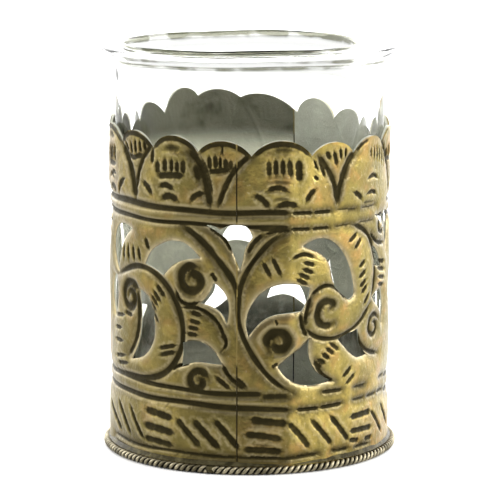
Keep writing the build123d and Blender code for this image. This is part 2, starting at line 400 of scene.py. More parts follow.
def curve_through(points: Iterable[Point], step: float) -> np.ndarray:
    """The natural cubic curve through some points.

    Args:
        points: the points that the curve passes through, in order.
        step: about how far apart the points of the result are.

    Returns:
        Points along the curve, one to a row.
    """
    knots = np.array(list(points), float)
    lengths = np.hypot(*np.diff(knots, axis=0).T)
    runs = np.concatenate([[0.0], np.cumsum(lengths)])
    count = len(knots)
    system, pulls = np.eye(count), np.zeros((count, 2))
    for i in range(1, count - 1):
        before, after = lengths[i - 1], lengths[i]
        system[i, i - 1 : i + 2] = before, 2 * (before + after), after
        pulls[i] = 6 * ((knots[i + 1] - knots[i]) / after - (knots[i] - knots[i - 1]) / before)
    bends = np.linalg.solve(system, pulls)
    places = np.linspace(0, runs[-1], max(2, math.ceil(runs[-1] / step) + 1))
    span = np.clip(np.searchsorted(runs, places, side="right") - 1, 0, count - 2)
    width = lengths[span][:, None]
    late = (places - runs[span])[:, None] / width
    early = 1 - late
    line = early * knots[span] + late * knots[span + 1]
    lean = (early**3 - early) * bends[span] + (late**3 - late) * bends[span + 1]
    return line + lean * width**2 / 6


def spiral(centre: Point, start: float, end: float, angle: float, turns: float) -> Line:
    """Points of a spiral groove.

    Args:
        centre: the spiral's middle.
        start: its radius where it begins.
        end: its radius where it ends.
        angle: the direction from the middle to its beginning, in degrees.
        turns: how many times it goes round: anticlockwise if positive.

    Returns:
        The points, eight to a turn.
    """
    count = max(4, round(abs(turns) * 8) + 1)
    points = []
    for i in range(count):
        part = i / (count - 1)
        radius = start + (end - start) * part
        turn = math.radians(angle) + 2 * math.pi * turns * part
        points.append((centre[0] + radius * math.cos(turn), centre[1] + radius * math.sin(turn)))
    return tuple(points)


def smooth(values: np.ndarray) -> np.ndarray:
    """A smooth climb from 0 at 0 to 1 at 1."""
    part = np.clip(values, 0, 1)
    return part * part * (3 - 2 * part)


def distance_from(line: np.ndarray, places: np.ndarray) -> tuple[np.ndarray, np.ndarray]:
    """How far places are from a line.

    Args:
        line: the points of the line, one to a row.
        places: the places, one to a row.

    Returns:
        Each place's distance, and how far along the line its nearest point is, from 0 to 1.
    """
    nearest = np.full(len(places), np.inf)
    along = np.zeros(len(places))
    lengths = np.hypot(*np.diff(line, axis=0).T)
    runs = np.concatenate([[0.0], np.cumsum(lengths)])
    for i, (start, end) in enumerate(zip(line, line[1:])):
        reach = end - start
        part = np.clip((places - start) @ reach / max(reach @ reach, 1e-12), 0, 1)
        away = np.hypot(*(places - start - part[:, None] * reach).T)
        closer = away < nearest
        nearest[closer] = away[closer]
        along[closer] = (runs[i] + part[closer] * lengths[i]) / runs[-1]
    return nearest, along


@dataclass(frozen=True)
class Stroke:
    """A line struck into the sheet, in millimetres."""

    points: Line
    width: float = 1.0
    depth: float = 0.42
    taper: float = 0.12
    dark: float = 1.0
    swells: bool = True

    def moved(self, along: float, up: float = 0.0) -> Stroke:
        """The same stroke elsewhere on the sheet."""
        return replace(self, points=tuple((s + along, z + up) for s, z in self.points))

    def line(self, step: float = 0.4) -> np.ndarray:
        """Points along the middle of the stroke."""
        return curve_through(self.points, step)


def hatch(start: Point, end: Point, width: float = 1.2) -> Stroke:
    """A short tapered chisel stroke."""
    return Stroke((start, end), width, 0.40, 0.28, 1.0, False)


def hatches(*cuts: tuple[float, ...]) -> list[Stroke]:
    """Chisel strokes, each given as s, z at one end, s, z at the other, and its width if that isn't usual."""
    return [hatch(cut[:2], cut[2:4], *cut[4:]) for cut in cuts]


@dataclass(frozen=True)
class Opening:
    """A pierced opening: a closed run of edges, each a smooth curve through its points."""

    edges: tuple[Line, ...]

    def moved(self, along: float, up: float) -> Opening:
        """The same opening elsewhere on the sheet."""
        return Opening(tuple(tuple((s + along, z + up) for s, z in edge) for edge in self.edges))

    def outline(self, step: float = 0.3) -> np.ndarray:
        """Points round the opening, the last one next to the first."""
        return np.concatenate([curve_through(edge, step)[:-1] for edge in self.edges])


def opening(*edges: Line) -> Opening:
    """An opening from its edges, each given without its last point, which is where the next edge begins."""
    return Opening(tuple((*edge, after[0]) for edge, after in zip(edges, edges[1:] + edges[:1])))


def inside(outline: np.ndarray, places: np.ndarray) -> np.ndarray:
    """Which places lie inside a closed outline."""
    within = np.zeros(len(places), bool)
    for (s0, z0), (s1, z1) in zip(outline, np.roll(outline, -1, axis=0)):
        crosses = (z0 > places[:, 1]) != (z1 > places[:, 1])
        with np.errstate(divide="ignore", invalid="ignore"):
            at = s0 + (places[:, 1] - z0) * (s1 - s0) / (z1 - z0)
        within ^= crosses & (places[:, 0] < at)
    return within


# ------------ The design, drawn flat in millimetres ------------

SLEEVE_RADIUS = 34.5
SHEET_THICKNESS = 0.8
SLEEVE_LENGTH = 2 * math.pi * SLEEVE_RADIUS
PLATE_TOP = 1.0
FRONT_SEAM = -3.0
BACK_SEAM = 95.9
SEAM_WIDTH = 0.35

# Where each dip between petals is, how high, and the tip of the petal after it
SCALLOPS = (
    (-37.8, 77.4, 81.0),
    (-25.3, 77.2, 80.8),
    (-12.5, 77.1, 80.0),
    (0.5, 76.4, 80.0),
    (15.3, 76.0, 79.0),
    (28.0, 75.7, 79.3),
    (41.5, 76.0, 80.2),
    (55.2, 77.0, 81.2),
    (69.0, 78.0, 82.2),
    (82.9, 78.6, 84.0),
    (94.9, 79.6, 83.9),
    (110.6, 83.0, 85.0),
    (122.4, 83.0, 85.0),
    (134.1, 79.2, 82.4),
    (149.0, 78.4, 81.6),
    (164.0, 77.8, 81.2),
)

# Two designs of roundel take turns along the strip. Their openings are drawn from the roundel's middle.
ROUNDEL_PITCH = 48.2
ROUNDEL_HEIGHT = 39.5
FIRST_BOUNDARY = -2.7
BACK_MIDDLE = FIRST_BOUNDARY - 2 * ROUNDEL_PITCH - (SLEEVE_LENGTH - 4 * ROUNDEL_PITCH) / 2

SCROLL_OPENINGS = (
    opening(
        ((-8.4, 15.1), (-3.9, 16.7), (0.6, 15.3), (4.9, 10.5), (7.0, 5.0), (6.8, 1.6)),
        ((5.1, 0.9), (2.8, 2.9)),
        ((0.6, 4.8), (-0.2, 7.3), (-1.1, 10.5), (-3.6, 13.0)),
    ),
    opening(
        ((-21.7, -6.3), (-22.2, -3.5), (-20.9, 1.5), (-17.9, 4.7), (-13.4, 6.3)),
        ((-6.4, 5.1), (-7.0, 2.3)),
        ((-8.6, -0.5), (-11.9, -0.8), (-16.4, -1.5), (-19.4, -3.5)),
    ),
    opening(
        ((-14.7, -13.5), (-11.9, -11.2), (-8.9, -9.2)),
        ((-6.6, -6.9), (-6.8, -11.0), (-4.9, -15.1)),
        ((-0.4, -18.0), (-5.4, -18.7), (-10.4, -17.7), (-13.4, -15.5)),
    ),
    opening(
        ((1.6, -8.2), (5.1, -7.3)),
        ((8.8, -6.5), (9.9, -10.5)),
        ((12.4, -13.5), (8.1, -13.5), (4.6, -11.2)),
    ),
    opening(
        ((15.0, 13.0), (18.2, 10.6)),
        ((20.4, 7.2), (18.2, 7.3)),
        ((16.3, 7.9), (15.9, 10.5)),
    ),
    opening(
        ((15.2, 0.2), (17.8, 1.2)),
        ((21.0, 1.8), (22.2, -2.0)),
        ((21.2, -7.5), (20.6, -4.8), (18.9, -2.6), (16.8, -1.4)),
    ),
)
LEAF_OPENINGS = (
    opening(
        ((-1.5, 9.5), (0.3, 12.5), (3.8, 14.9), (7.8, 16.1), (11.8, 15.1)),
        ((14.8, 12.3), (10.8, 11.7), (7.3, 10.1)),
        ((4.5, 7.3), (1.8, 8.6)),
    ),
    opening(
        ((14.8, 1.5), (16.8, 3.7)),
        ((18.2, 6.6), (20.6, 4.4), (21.8, 1.0)),
        ((21.3, -3.2), (20.2, -1.1), (17.8, 0.7)),
    ),
    opening(
        ((9.8, -8.5), (13.3, -7.7), (17.3, -9.1)),
        ((20.3, -13.1), (17.3, -13.0), (13.3, -12.9)),
        ((9.5, -14.3), (10.1, -11.5)),
    ),
    opening(
        ((-3.9, 3.2), (-0.6, 1.4), (1.1, -2.0), (1.5, -5.5), (0.6, -9.8), (-2.2, -12.9)),
        ((-7.7, -14.7), (-5.2, -11.5), (-3.8, -8.0), (-3.3, -4.0), (-3.4, -0.5)),
    ),
    opening(
        ((-7.0, 17.4), (-11.0, 18.2), (-15.0, 17.2), (-17.6, 14.0), (-17.2, 9.8)),
        ((-14.6, 6.0), (-13.4, 10.5), (-11.2, 14.0)),
    ),
    opening(
        ((-16.0, 4.6), (-15.2, 2.0), (-15.6, -2.0)),
        ((-17.5, -5.5), (-19.8, -2.0), (-19.9, 2.0)),
        ((-18.2, 4.6), (-17.1, 4.9)),
    ),
)
# The two roundels that stand at the back are cut a little differently by hand
BACK_SCROLL_OPENINGS = (SCROLL_OPENINGS[0].moved(6.0, 0.0), *SCROLL_OPENINGS[3:])
BACK_LEAF_OPENINGS = (LEAF_OPENINGS[0], *LEAF_OPENINGS[2:])
BACK_OPENINGS = (
    opening(
        ((-13.9, -11.1), (-11.2, -9.5), (-7.7, -8.2), (-4.7, -8.5)),
        ((-2.3, -9.3), (-3.7, -6.0), (-7.2, -3.9), (-11.2, -5.3)),
    ),
    opening(
        ((1.5, 5.1), (6.1, 6.1)),
        ((10.9, 5.4), (8.8, 9.3), (5.8, 10.5), (3.1, 9.1)),
    ),
    opening(
        ((8.9, -9.5), (10.6, -6.0)),
        ((12.1, -4.5), (12.8, -7.5), (15.1, -10.0)),
        ((16.5, -11.9), (13.1, -12.0)),
    ),
    opening(
        ((-23.1, -5.4), (-21.2, -4.6), (-20.3, -2.3), (-20.7, 0.3)),
        ((-21.8, 2.5), (-22.3, 0.0), (-23.1, -2.5), (-23.5, -4.2)),
    ),
)
SPANDREL = opening(
    ((-7.9, 20.3), (-5.8, 20.1)),
    ((-4.3, 19.4), (-2.5, 20.2), (-0.3, 20.5), (1.9, 20.1)),
    ((3.6, 17.8), (2.6, 16.4), (1.7, 14.9), (1.2, 12.8)),
    ((0.4, 9.8), (-0.5, 12.0), (-1.5, 14.5), (-2.5, 16.7), (-4.6, 18.4)),
)

# Strokes are drawn where they lie on the two front roundels
LEAF_STROKES = (
    Stroke(((-17.0, 59.7), (-14.5, 58.2), (-11.0, 55.5), (-7.5, 51.5), (-4.5, 47.5), (-3.0, 44.0),
            (-2.5, 40.0)), 1.6),
    Stroke(((-10.0, 59.3), (-6.0, 56.5), (-4.3, 53.5)), 0.9),
    Stroke(spiral((-13.9, 46.4), 3.7, 1.1, 60, 1.3), 2.3, 0.6),
    Stroke(((-18.4, 43.8), (-17.3, 41.4), (-14.8, 40.6), (-12.3, 41.3)), 0.9),
    Stroke(((-16.9, 39.6), (-13.0, 39.9), (-10.0, 38.6), (-7.6, 36.4), (-6.2, 33.6), (-5.6, 31.5),
            (-6.8, 29.6)), 1.0),
    Stroke(((-42.0, 44.6), (-37.5, 46.2), (-33.0, 47.8), (-28.5, 48.2), (-24.0, 46.7), (-20.2, 43.5),
            (-17.6, 39.0), (-16.6, 34.0), (-17.1, 30.0), (-19.0, 26.2), (-22.3, 23.0), (-27.0, 21.3),
            (-33.0, 20.8), (-42.0, 20.9)), 1.5),
    Stroke(spiral((-34.4, 40.2), 4.0, 0.9, 25, 1.4), 2.1, 0.55),
    Stroke(((-31.4, 42.6), (-30.8, 39.0), (-31.0, 34.0), (-32.4, 29.5), (-35.5, 25.5)), 1.2, 0.3),
    Stroke(spiral((-12.7, 22.0), 2.9, 0.8, 15, 1.2), 1.9, 0.5),
    Stroke(((-6.5, 26.4), (-5.4, 24.4), (-3.6, 22.4), (-1.0, 20.7)), 1.1),
    Stroke(((-19.8, 24.2), (-18.0, 25.3), (-15.0, 26.1)), 0.9),
    Stroke(((-8.9, 48.2), (-8.1, 46.9)), 1.1, 0.4, 0.0, 1.0, False),
    Stroke(((-6.3, 33.3), (-5.8, 32.6)), 1.0, 0.35, 0.0, 1.0, False),
    *hatches(
        (-14.6, 38.9, -11.4, 38.0), (-15.0, 36.9, -11.6, 36.2), (-15.2, 35.1, -12.1, 34.8),
        (-15.6, 33.5, -12.4, 33.3), (-24.3, 44.7, -21.4, 41.6), (-25.3, 43.2, -22.6, 40.2),
        (-26.0, 41.9, -23.6, 39.2), (-26.6, 40.4, -24.4, 38.1), (-26.2, 38.3, -23.6, 35.2),
        (-23.8, 29.0, -18.2, 30.4), (-23.6, 27.3, -18.4, 28.8), (-37.0, 52.8, -37.2, 48.9),
        (-34.7, 53.2, -34.8, 49.0), (-32.4, 53.2, -32.3, 49.2), (-30.2, 53.0, -29.8, 49.6),
        (-27.4, 55.6, -26.6, 52.6, 1.3), (-42.5, 34.6, -36.6, 35.3, 1.1), (-42.5, 31.6, -38.0, 31.9, 1.1),
        (-42.5, 28.6, -37.4, 28.7, 1.1), (-42.5, 24.4, -36.6, 25.3, 1.1), (-41.5, 22.8, -35.2, 23.6, 1.1),
        (-37.0, 36.2, -33.2, 35.6, 1.1), (-8.4, 23.8, -4.4, 20.4), (-3.4, 23.6, -0.6, 21.0, 1.0),
    ),
)
SCROLL_STROKES = (
    Stroke(((9.2, 58.4), (6.0, 56.8), (3.0, 54.0), (0.0, 50.0), (-2.0, 45.5), (-2.7, 41.0), (-2.5, 36.5),
            (-1.0, 32.0), (1.5, 27.5), (5.0, 23.2), (8.0, 20.8), (10.5, 19.5)), 1.3),
    Stroke(((-0.4, 53.3), (1.0, 55.8), (3.2, 57.8)), 1.2),
    Stroke(((3.8, 57.9), (6.5, 58.6), (9.8, 58.6)), 0.9),
    Stroke(spiral((7.0, 31.8), 3.0, 1.2, 215, -1.15), 2.4, 0.6),
    Stroke(((12.4, 38.4), (12.7, 35.6), (13.9, 33.0)), 1.0),
    Stroke(((6.8, 26.9), (5.2, 25.9)), 0.9, 0.35, 0.2, 1.0, False),
    Stroke(((6.3, 37.1), (6.6, 36.4)), 0.8, 0.3, 0.0, 1.0, False),
    Stroke(((20.7, 38.9), (21.6, 40.0), (20.0, 40.9), (18.0, 40.4), (16.8, 38.0), (17.5, 35.8),
            (19.5, 35.0), (21.6, 35.4)), 1.8, 0.55),
    Stroke(((15.1, 42.6), (17.0, 44.0), (19.5, 44.7), (22.0, 44.0), (24.0, 42.5), (26.0, 40.4)), 1.0),
    Stroke(((15.1, 42.4), (14.0, 39.0), (13.4, 35.6)), 1.0),
    Stroke(((13.4, 35.5), (15.0, 33.5), (18.5, 32.0), (22.0, 31.7), (26.0, 32.5), (31.0, 34.8),
            (35.6, 38.6)), 1.1),
    Stroke(((27.5, 58.6), (31.5, 57.2), (34.8, 54.2), (36.9, 50.0), (37.3, 45.0), (36.0, 39.6)), 1.2),
    Stroke(((29.6, 32.6), (31.5, 28.8), (34.2, 26.9), (39.5, 25.4)), 1.2),
    Stroke(((16.1, 27.0), (17.5, 24.2), (19.6, 22.3), (21.8, 21.2)), 1.1),
    Stroke(((35.0, 55.6), (38.0, 53.2), (42.5, 52.4)), 1.1),
    Stroke(spiral((37.2, 32.4), 3.2, 1.0, 30, 1.2), 1.3, 0.45),
    Stroke(spiral((40.6, 57.0), 2.7, 1.0, 140, -1.2), 1.1, 0.4),
    Stroke(((9.5, 51.5), (13.0, 52.8), (16.6, 51.4)), 1.1, 0.4, 0.3, 1.0, False),
    *hatches(
        (12.8, 50.9, 16.2, 50.0), (12.5, 49.4, 15.8, 48.1), (11.4, 48.4, 15.0, 46.6),
        (11.0, 47.2, 14.4, 45.2), (3.0, 51.6, 5.1, 47.4), (5.2, 52.6, 7.6, 47.6), (30.0, 47.9, 32.3, 49.6),
        (30.0, 45.3, 32.6, 47.1), (30.3, 43.0, 32.8, 44.9), (30.8, 41.4, 33.2, 43.5),
        (31.8, 38.6, 34.3, 41.3), (26.0, 54.5, 29.3, 56.5), (28.1, 52.6, 30.9, 55.2),
        (20.2, 30.8, 23.2, 28.6), (19.1, 29.7, 21.6, 27.8), (17.9, 28.5, 20.3, 26.8),
        (16.8, 27.2, 19.1, 25.8), (16.0, 26.0, 18.2, 25.0), (24.0, 21.8, 27.2, 24.4),
        (25.1, 19.9, 28.5, 22.4), (39.0, 48.2, 43.5, 47.6), (38.8, 46.4, 43.5, 45.6),
        (38.8, 44.4, 43.5, 43.6), (38.9, 42.6, 43.5, 41.7),
    ),
)
BACK_STROKES = (
    Stroke(((-15.0, -7.6), (-12.0, -3.2), (-7.4, -1.6), (-3.2, -3.4), (-0.4, -8.2), (0.4, -14.0),
            (3.0, -19.4)), 1.3),
    Stroke(spiral((-5.6, 5.2), 4.0, 0.9, 200, -1.4), 1.6, 0.5),
    Stroke(((-11.4, 18.6), (-8.0, 14.6), (-3.0, 13.0), (1.2, 14.6), (4.0, 19.0)), 1.3),
    Stroke(((0.6, 2.6), (6.0, 3.8), (11.6, 2.8)), 1.0),
    *hatches(
        (3.0, -1.0, 5.6, -4.2), (5.0, 0.2, 7.6, -3.0), (7.2, 0.8, 9.6, -2.2), (-8.0, -13.4, -7.0, -17.0),
        (-5.4, -13.0, -4.6, -16.6), (4.6, -14.0, 7.0, -17.0), (7.2, -13.4, 9.6, -16.6),
    ),
)


def petal_spans() -> list[tuple[float, float]]:
    """The two dips of each petal, in order round the sleeve."""
    dips = [dip for dip, _, _ in SCALLOPS] + [SCALLOPS[0][0] + SLEEVE_LENGTH]
    return list(zip(dips, dips[1:]))


def top_edge(s: np.ndarray) -> np.ndarray:
    """Height of the scalloped edge at places along the sheet."""
    wrapped = (s - SCALLOPS[0][0]) % SLEEVE_LENGTH + SCALLOPS[0][0]
    height = np.zeros_like(wrapped)
    following = SCALLOPS[1:] + SCALLOPS[:1]
    for (left, right), (_, low, tip), (_, next_low, _) in zip(petal_spans(), SCALLOPS, following):
        held = (wrapped >= left) & (wrapped <= right)
        part = (wrapped[held] - left) / (right - left)
        half, rise = (right - left) / 2, tip - (low + next_low) / 2
        bend = (half**2 + rise**2) / (2 * rise)
        arc = np.sqrt(bend**2 - ((part - 0.5) * 2 * half) ** 2) - (bend - rise)
        height[held] = low + (next_low - low) * part + arc
    return height


def crescent(*points: Point, width: float = 1.3) -> Stroke:
    """A short curved gouge, thick in the middle."""
    return Stroke(points, width, 0.45, 0.3, 1.0, False)


# The petals that face the front, each marked a little differently
FRONT_PETAL_STROKES = (
    # marks of the big petal at the far left
    crescent((-39.9, 65.8), (-38.2, 67.7), (-35.8, 69.0), width=1.3),
    crescent((-45.5, 68.9), (-43.5, 69.7), (-41.5, 69.3), width=1.2),
    crescent((-46.0, 65.6), (-43.9, 66.3), (-42.0, 65.6), width=1.2),
    *hatches(
        (-46.6, 75.8, -46.3, 72.0), (-44.6, 76.2, -44.3, 72.4), (-42.6, 76.4, -42.4, 72.8),
    ),
    # first small petal
    Stroke(((-37.9, 77.3), (-34.8, 74.3), (-32.9, 70.6), (-31.9, 66.6), (-31.5, 64.4)), 2.1, 0.55, 0.14),
    Stroke(((-25.6, 77.9), (-27.8, 75.6), (-29.6, 72.6), (-30.6, 69.6), (-31.2, 66.8)), 1.2, 0.45),
    Stroke(((-33.8, 75.4), (-32.6, 74.5), (-30.6, 74.8), (-28.6, 75.6)), 1.3, 0.4, 0.2, 1.0, False),
    *hatches(
        (-35.6, 78.0, -33.9, 75.6, 1.1), (-32.9, 78.2, -32.4, 75.0, 1.1), (-31.1, 79.0, -30.9, 75.4, 1.0),
        (-29.5, 78.9, -29.3, 75.7, 1.0), (-28.0, 78.8, -27.8, 76.2, 1.0),
    ),
    # first big petal
    Stroke(((-21.8, 77.0), (-19.2, 77.9), (-16.6, 77.0)), 2.0, 0.40, 0.35, 0.6, False),
    *hatches(
        (-23.5, 74.6, -23.3, 71.2, 1.6), (-21.2, 75.5, -21.1, 71.6, 1.4), (-19.3, 75.5, -19.2, 71.8, 1.1),
        (-17.8, 75.0, -17.7, 71.8, 1.1), (-16.2, 75.4, -16.1, 71.6, 1.3),
    ),
    Stroke(((-23.4, 70.8), (-19.5, 71.3), (-15.9, 71.3)), 1.7, 0.45, 0.15, 1.0, False),
    hatch((-25.2, 77.4), (-25.2, 73.4), 1.3),
    Stroke(((-15.0, 77.6), (-12.7, 75.4), (-11.2, 72.4), (-10.2, 68.8), (-9.4, 64.2)), 1.8, 0.5, 0.1),
    Stroke(((-12.0, 76.8), (-10.3, 73.4), (-9.3, 70.0), (-8.8, 66.5)), 0.7, 0.25, 0.2, 0.6, False),
    hatch((-13.3, 74.4), (-12.1, 70.1), 1.7),
    crescent((-28.9, 68.9), (-27.0, 68.3), (-25.2, 65.9), width=1.6),
    crescent((-23.0, 68.2), (-20.8, 68.9), (-18.6, 67.7), width=1.5),
    crescent((-22.6, 65.1), (-20.0, 66.3), (-17.3, 65.0), width=1.8),
    crescent((-14.6, 64.9), (-12.9, 66.9), (-10.6, 67.5), width=1.5),
    # second small petal, which the front seam crosses
    *hatches(
        (-9.6, 76.6, -9.4, 72.9), (-8.1, 76.9, -8.0, 73.1), (-6.9, 76.6, -6.9, 73.1, 0.9),
        (-5.7, 76.0, -5.6, 73.3), (-4.4, 75.6, -4.5, 73.3),
    ),
    Stroke(((-9.9, 72.7), (-7.3, 72.9), (-4.2, 73.5)), 1.4, 0.42, 0.2, 1.0, False),
    Stroke(((-6.3, 79.8), (-6.3, 76.8)), 0.6, 0.22, 0.1, 0.9, False),
    Stroke(((0.3, 76.7), (-2.6, 74.2), (-4.7, 71.2), (-6.3, 67.8), (-7.5, 64.3)), 1.4, 0.48),
    # second big petal
    Stroke(((4.9, 77.5), (8.2, 77.9), (11.3, 77.3)), 1.7, 0.35, 0.3, 0.55, False),
    *hatches(
        (4.5, 75.7, 4.6, 71.4, 1.3), (6.1, 75.9, 6.2, 71.6, 1.3), (7.8, 75.9, 7.9, 71.6),
        (9.3, 75.9, 9.8, 71.0, 1.5),
    ),
    Stroke(((11.7, 75.4), (11.9, 70.2)), 2.0, 0.55, 0.15, 1.0, False),
    Stroke(((4.7, 70.4), (8.0, 70.2), (10.5, 69.9)), 1.0, 0.18, 0.3, 0.55, False),
    crescent((3.8, 68.0), (6.6, 69.0), (9.4, 67.8), width=1.4),
    Stroke(((5.2, 66.2), (7.6, 66.3), (9.8, 66.1)), 1.0, 0.16, 0.3, 0.5, False),
    crescent((5.9, 64.1), (8.9, 65.1), (12.0, 64.0), width=1.6),
    Stroke(((0.9, 67.4), (2.9, 66.3), (4.8, 64.0)), 1.6, 0.42, 0.2, 0.85, False),
    crescent((13.6, 64.8), (14.7, 67.0), (16.6, 68.4), width=1.4),
    *hatches(
        (15.7, 75.2, 16.9, 72.6, 0.8), (15.7, 71.3, 17.0, 70.3, 1.0),
    ),
    # third small petal, pleated like a fan
    Stroke(((16.9, 76.1), (19.0, 73.6), (20.9, 70.9), (22.0, 68.0), (22.5, 64.4)), 1.4, 0.45, 0.1),
    Stroke(((28.3, 76.0), (26.2, 74.2), (24.6, 71.2), (23.3, 68.0), (22.6, 64.0)), 1.6, 0.5, 0.1),
    *hatches(
        (19.2, 77.0, 20.4, 74.8, 1.3), (21.2, 77.2, 22.4, 73.0), (23.1, 77.6, 23.6, 74.6, 1.0),
        (25.0, 77.5, 25.0, 75.0, 0.9), (17.4, 75.0, 18.9, 70.6, 1.1),
    ),
    # third big petal
    Stroke(((28.5, 75.9), (30.6, 77.7), (33.5, 78.7)), 1.0, 0.28, 0.2, 0.8, False),
    *hatches(
        (34.4, 76.7, 34.4, 74.0, 0.8), (35.8, 76.8, 35.8, 73.4, 0.8), (37.3, 76.7, 37.3, 73.1, 0.8),
        (38.8, 76.4, 38.8, 72.6, 0.8), (40.3, 76.2, 40.3, 72.0, 0.8), (41.8, 75.7, 41.8, 71.5, 0.8),
    ),
    crescent((32.8, 69.0), (35.4, 69.8), (38.0, 68.6), width=1.2),
    crescent((32.4, 65.3), (34.8, 65.9), (37.4, 64.9), width=1.2),
    crescent((27.2, 66.6), (29.4, 65.6), (31.0, 64.0), width=1.4),
    Stroke(((31.0, 63.5), (33.5, 63.4), (36.5, 63.4)), 0.7, 0.22, 0.3, 0.6, False),
)


def small_petal(left: float, right: float, top: float) -> list[Stroke]:
    """The grooves that part a small petal from its big neighbours, and the pleats at its tip."""
    middle = (left + right) / 2
    lift = top - 77.0
    strokes = []
    for side, dip in ((-1, left), (1, right)):
        reach = middle + side * 0.5 - dip
        strokes.append(Stroke((
            (dip - side * 0.6, 77.8 + lift),
            (dip + reach * 0.45, 74.0 + lift * 0.8),
            (dip + reach * 0.80, 69.4 + lift * 0.4),
            (dip + reach, 64.2),
        ), 1.5, 0.5))
    for u in (-3.2, -1.6, 0.0, 1.6, 3.0):
        strokes.append(hatch((middle + u, 76.9 + lift - 0.1 * u * u), (middle + u * 0.8, 73.2 + lift), 1.15))
    strokes.append(hatch((middle - 3.2, 73.0 + lift), (middle + 2.8, 73.0 + lift), 1.3))
    return strokes


def big_petal(left: float, right: float, top: float) -> list[Stroke]:
    """The marks on a big petal: a dent at its tip, a row of pleats, and four crescents below."""
    middle = (left + right) / 2
    lift = top - 77.0
    dent = ((middle - 2.4, 77.4 + lift), (middle, 78.0 + lift), (middle + 2.4, 77.4 + lift))
    strokes = [Stroke(dent, 1.9, 0.38, 0.3, 0.55, False)]
    for u in (-3.8, -2.0, -0.3, 1.4, 3.2):
        strokes.append(hatch((middle + u, 75.5 + lift), (middle + u, 71.4 + lift), 1.3))
    strokes.append(hatch((middle - 4.2, 71.0 + lift), (middle + 3.8, 71.1 + lift), 1.5))
    strokes += [
        crescent((middle - 2.6, 68.0), (middle, 69.0), (middle + 2.5, 67.9), width=1.4),
        crescent((middle - 2.9, 64.9), (middle, 66.0), (middle + 2.9, 64.8), width=1.6),
        crescent((middle - 8.4, 68.6), (middle - 6.7, 67.8), (middle - 5.2, 65.4), width=1.5),
        crescent((middle + 5.2, 64.8), (middle + 6.6, 66.9), (middle + 8.6, 67.8), width=1.4),
    ]
    return strokes


def shade_under_edge(left: float, right: float) -> Stroke:
    """A shallow line just inside the edge of a petal, darkened as painted shade under the edge."""
    places = np.linspace(left + 0.3, right - 0.3, 9)
    heights = top_edge(places) - 0.66
    return Stroke(tuple(zip(places.tolist(), heights.tolist())), 1.35, 0.16, 0.12, 1.0, False)


def herringbone() -> list[Stroke]:
    """Groups of three level and three slanting cuts round the foot of the sleeve."""
    front = (
        ((-28.3, 13.4), (-24.0, 13.0), (-19.4, 12.2), 1.9),
        ((-28.9, 9.6), (-24.0, 9.3), (-19.1, 8.7), 2.0),
        ((-28.9, 6.2), (-24.0, 6.1), (-19.5, 5.5), 1.6),
        ((-18.6, 12.6), (-15.2, 9.3), (-11.9, 5.9), 1.6),
        ((-13.9, 12.7), (-10.5, 9.3), (-7.1, 5.8), 1.8),
        ((-8.6, 13.1), (-5.5, 9.8), (-2.4, 5.9), 1.6),
        ((-34.5, 13.3), (-31.8, 9.6), (-28.9, 5.8), 1.3),
        ((-41.0, 13.4), (-37.6, 9.9), (-34.4, 6.0), 1.5),
        ((-48.5, 12.0), (-44.0, 9.4), (-39.5, 6.0), 1.7),
        ((-0.1, 13.4), (4.5, 12.7), (9.2, 12.2), 1.9),
        ((-1.3, 9.8), (3.5, 9.3), (7.9, 8.3), 1.7),
        ((-1.6, 6.0), (3.5, 5.8), (8.1, 5.3), 1.7),
        ((9.0, 12.5), (12.0, 9.2), (14.8, 5.5), 1.6),
        ((14.9, 12.8), (18.0, 9.3), (21.0, 5.7), 1.5),
        ((20.2, 13.2), (23.3, 9.6), (26.5, 5.9), 1.5),
        ((26.6, 11.6), (31.0, 11.7), (35.2, 11.8), 1.6),
        ((26.6, 8.1), (31.0, 8.0), (35.8, 7.8), 1.5),
        ((26.8, 6.0), (28.6, 5.6), (30.3, 5.4), 1.3),
        ((32.8, 5.2), (34.3, 5.2), (35.9, 5.1), 1.3),
        ((35.1, 11.9), (38.5, 8.6), (41.9, 5.1), 1.4),
        ((41.3, 12.4), (44.3, 9.4), (47.5, 6.0), 1.5),
    )
    cut = {"depth": 0.46, "taper": 0.14, "swells": False}
    strokes = [Stroke(points, width, **cut) for *points, width in front]
    strokes.append(Stroke(((0.5, 7.3), (5.5, 6.9)), 0.7, 0.16, 0.3, 0.5, False))
    for i in range(4):
        start = 53.0 + 28.0 * i
        for height, drop in ((13.2, 0.9), (9.5, 0.9), (6.0, 0.6)):
            strokes.append(Stroke(((start, height), (start + 9.0, height - drop)), 1.8, **cut))
        for offset in (10.4, 15.6, 20.8):
            strokes.append(Stroke(((start + offset, 12.9), (start + offset + 6.0, 5.8)), 1.6, **cut))
    return strokes


def ring_groove(height: float, slope: float, width: float, depth: float, dark: float = 1.0,
                span: tuple[float, float] = (46.0, 226.5)) -> Stroke:
    """A line chased round the sleeve by hand: it drops towards +X, climbs towards -X and wanders a little.

    Args:
        height: its middle height.
        slope: how far it drops and climbs.
        width: the groove's width.
        depth: the groove's depth.
        dark: how dark the groove is.
        span: where it starts and ends.

    Returns:
        The stroke.
    """
    points = []
    for s in np.linspace(*span, max(3, round((span[1] - span[0]) / 4.5))):
        turn = s / SLEEVE_RADIUS
        wander = 0.14 * math.sin(5 * turn + height) + 0.10 * math.sin(11 * turn + 2 * height)
        points.append((float(s), height - slope * math.sin(turn) + wander))
    return Stroke(tuple(points), width, depth, min(0.12, 1.5 / (span[1] - span[0])), dark)


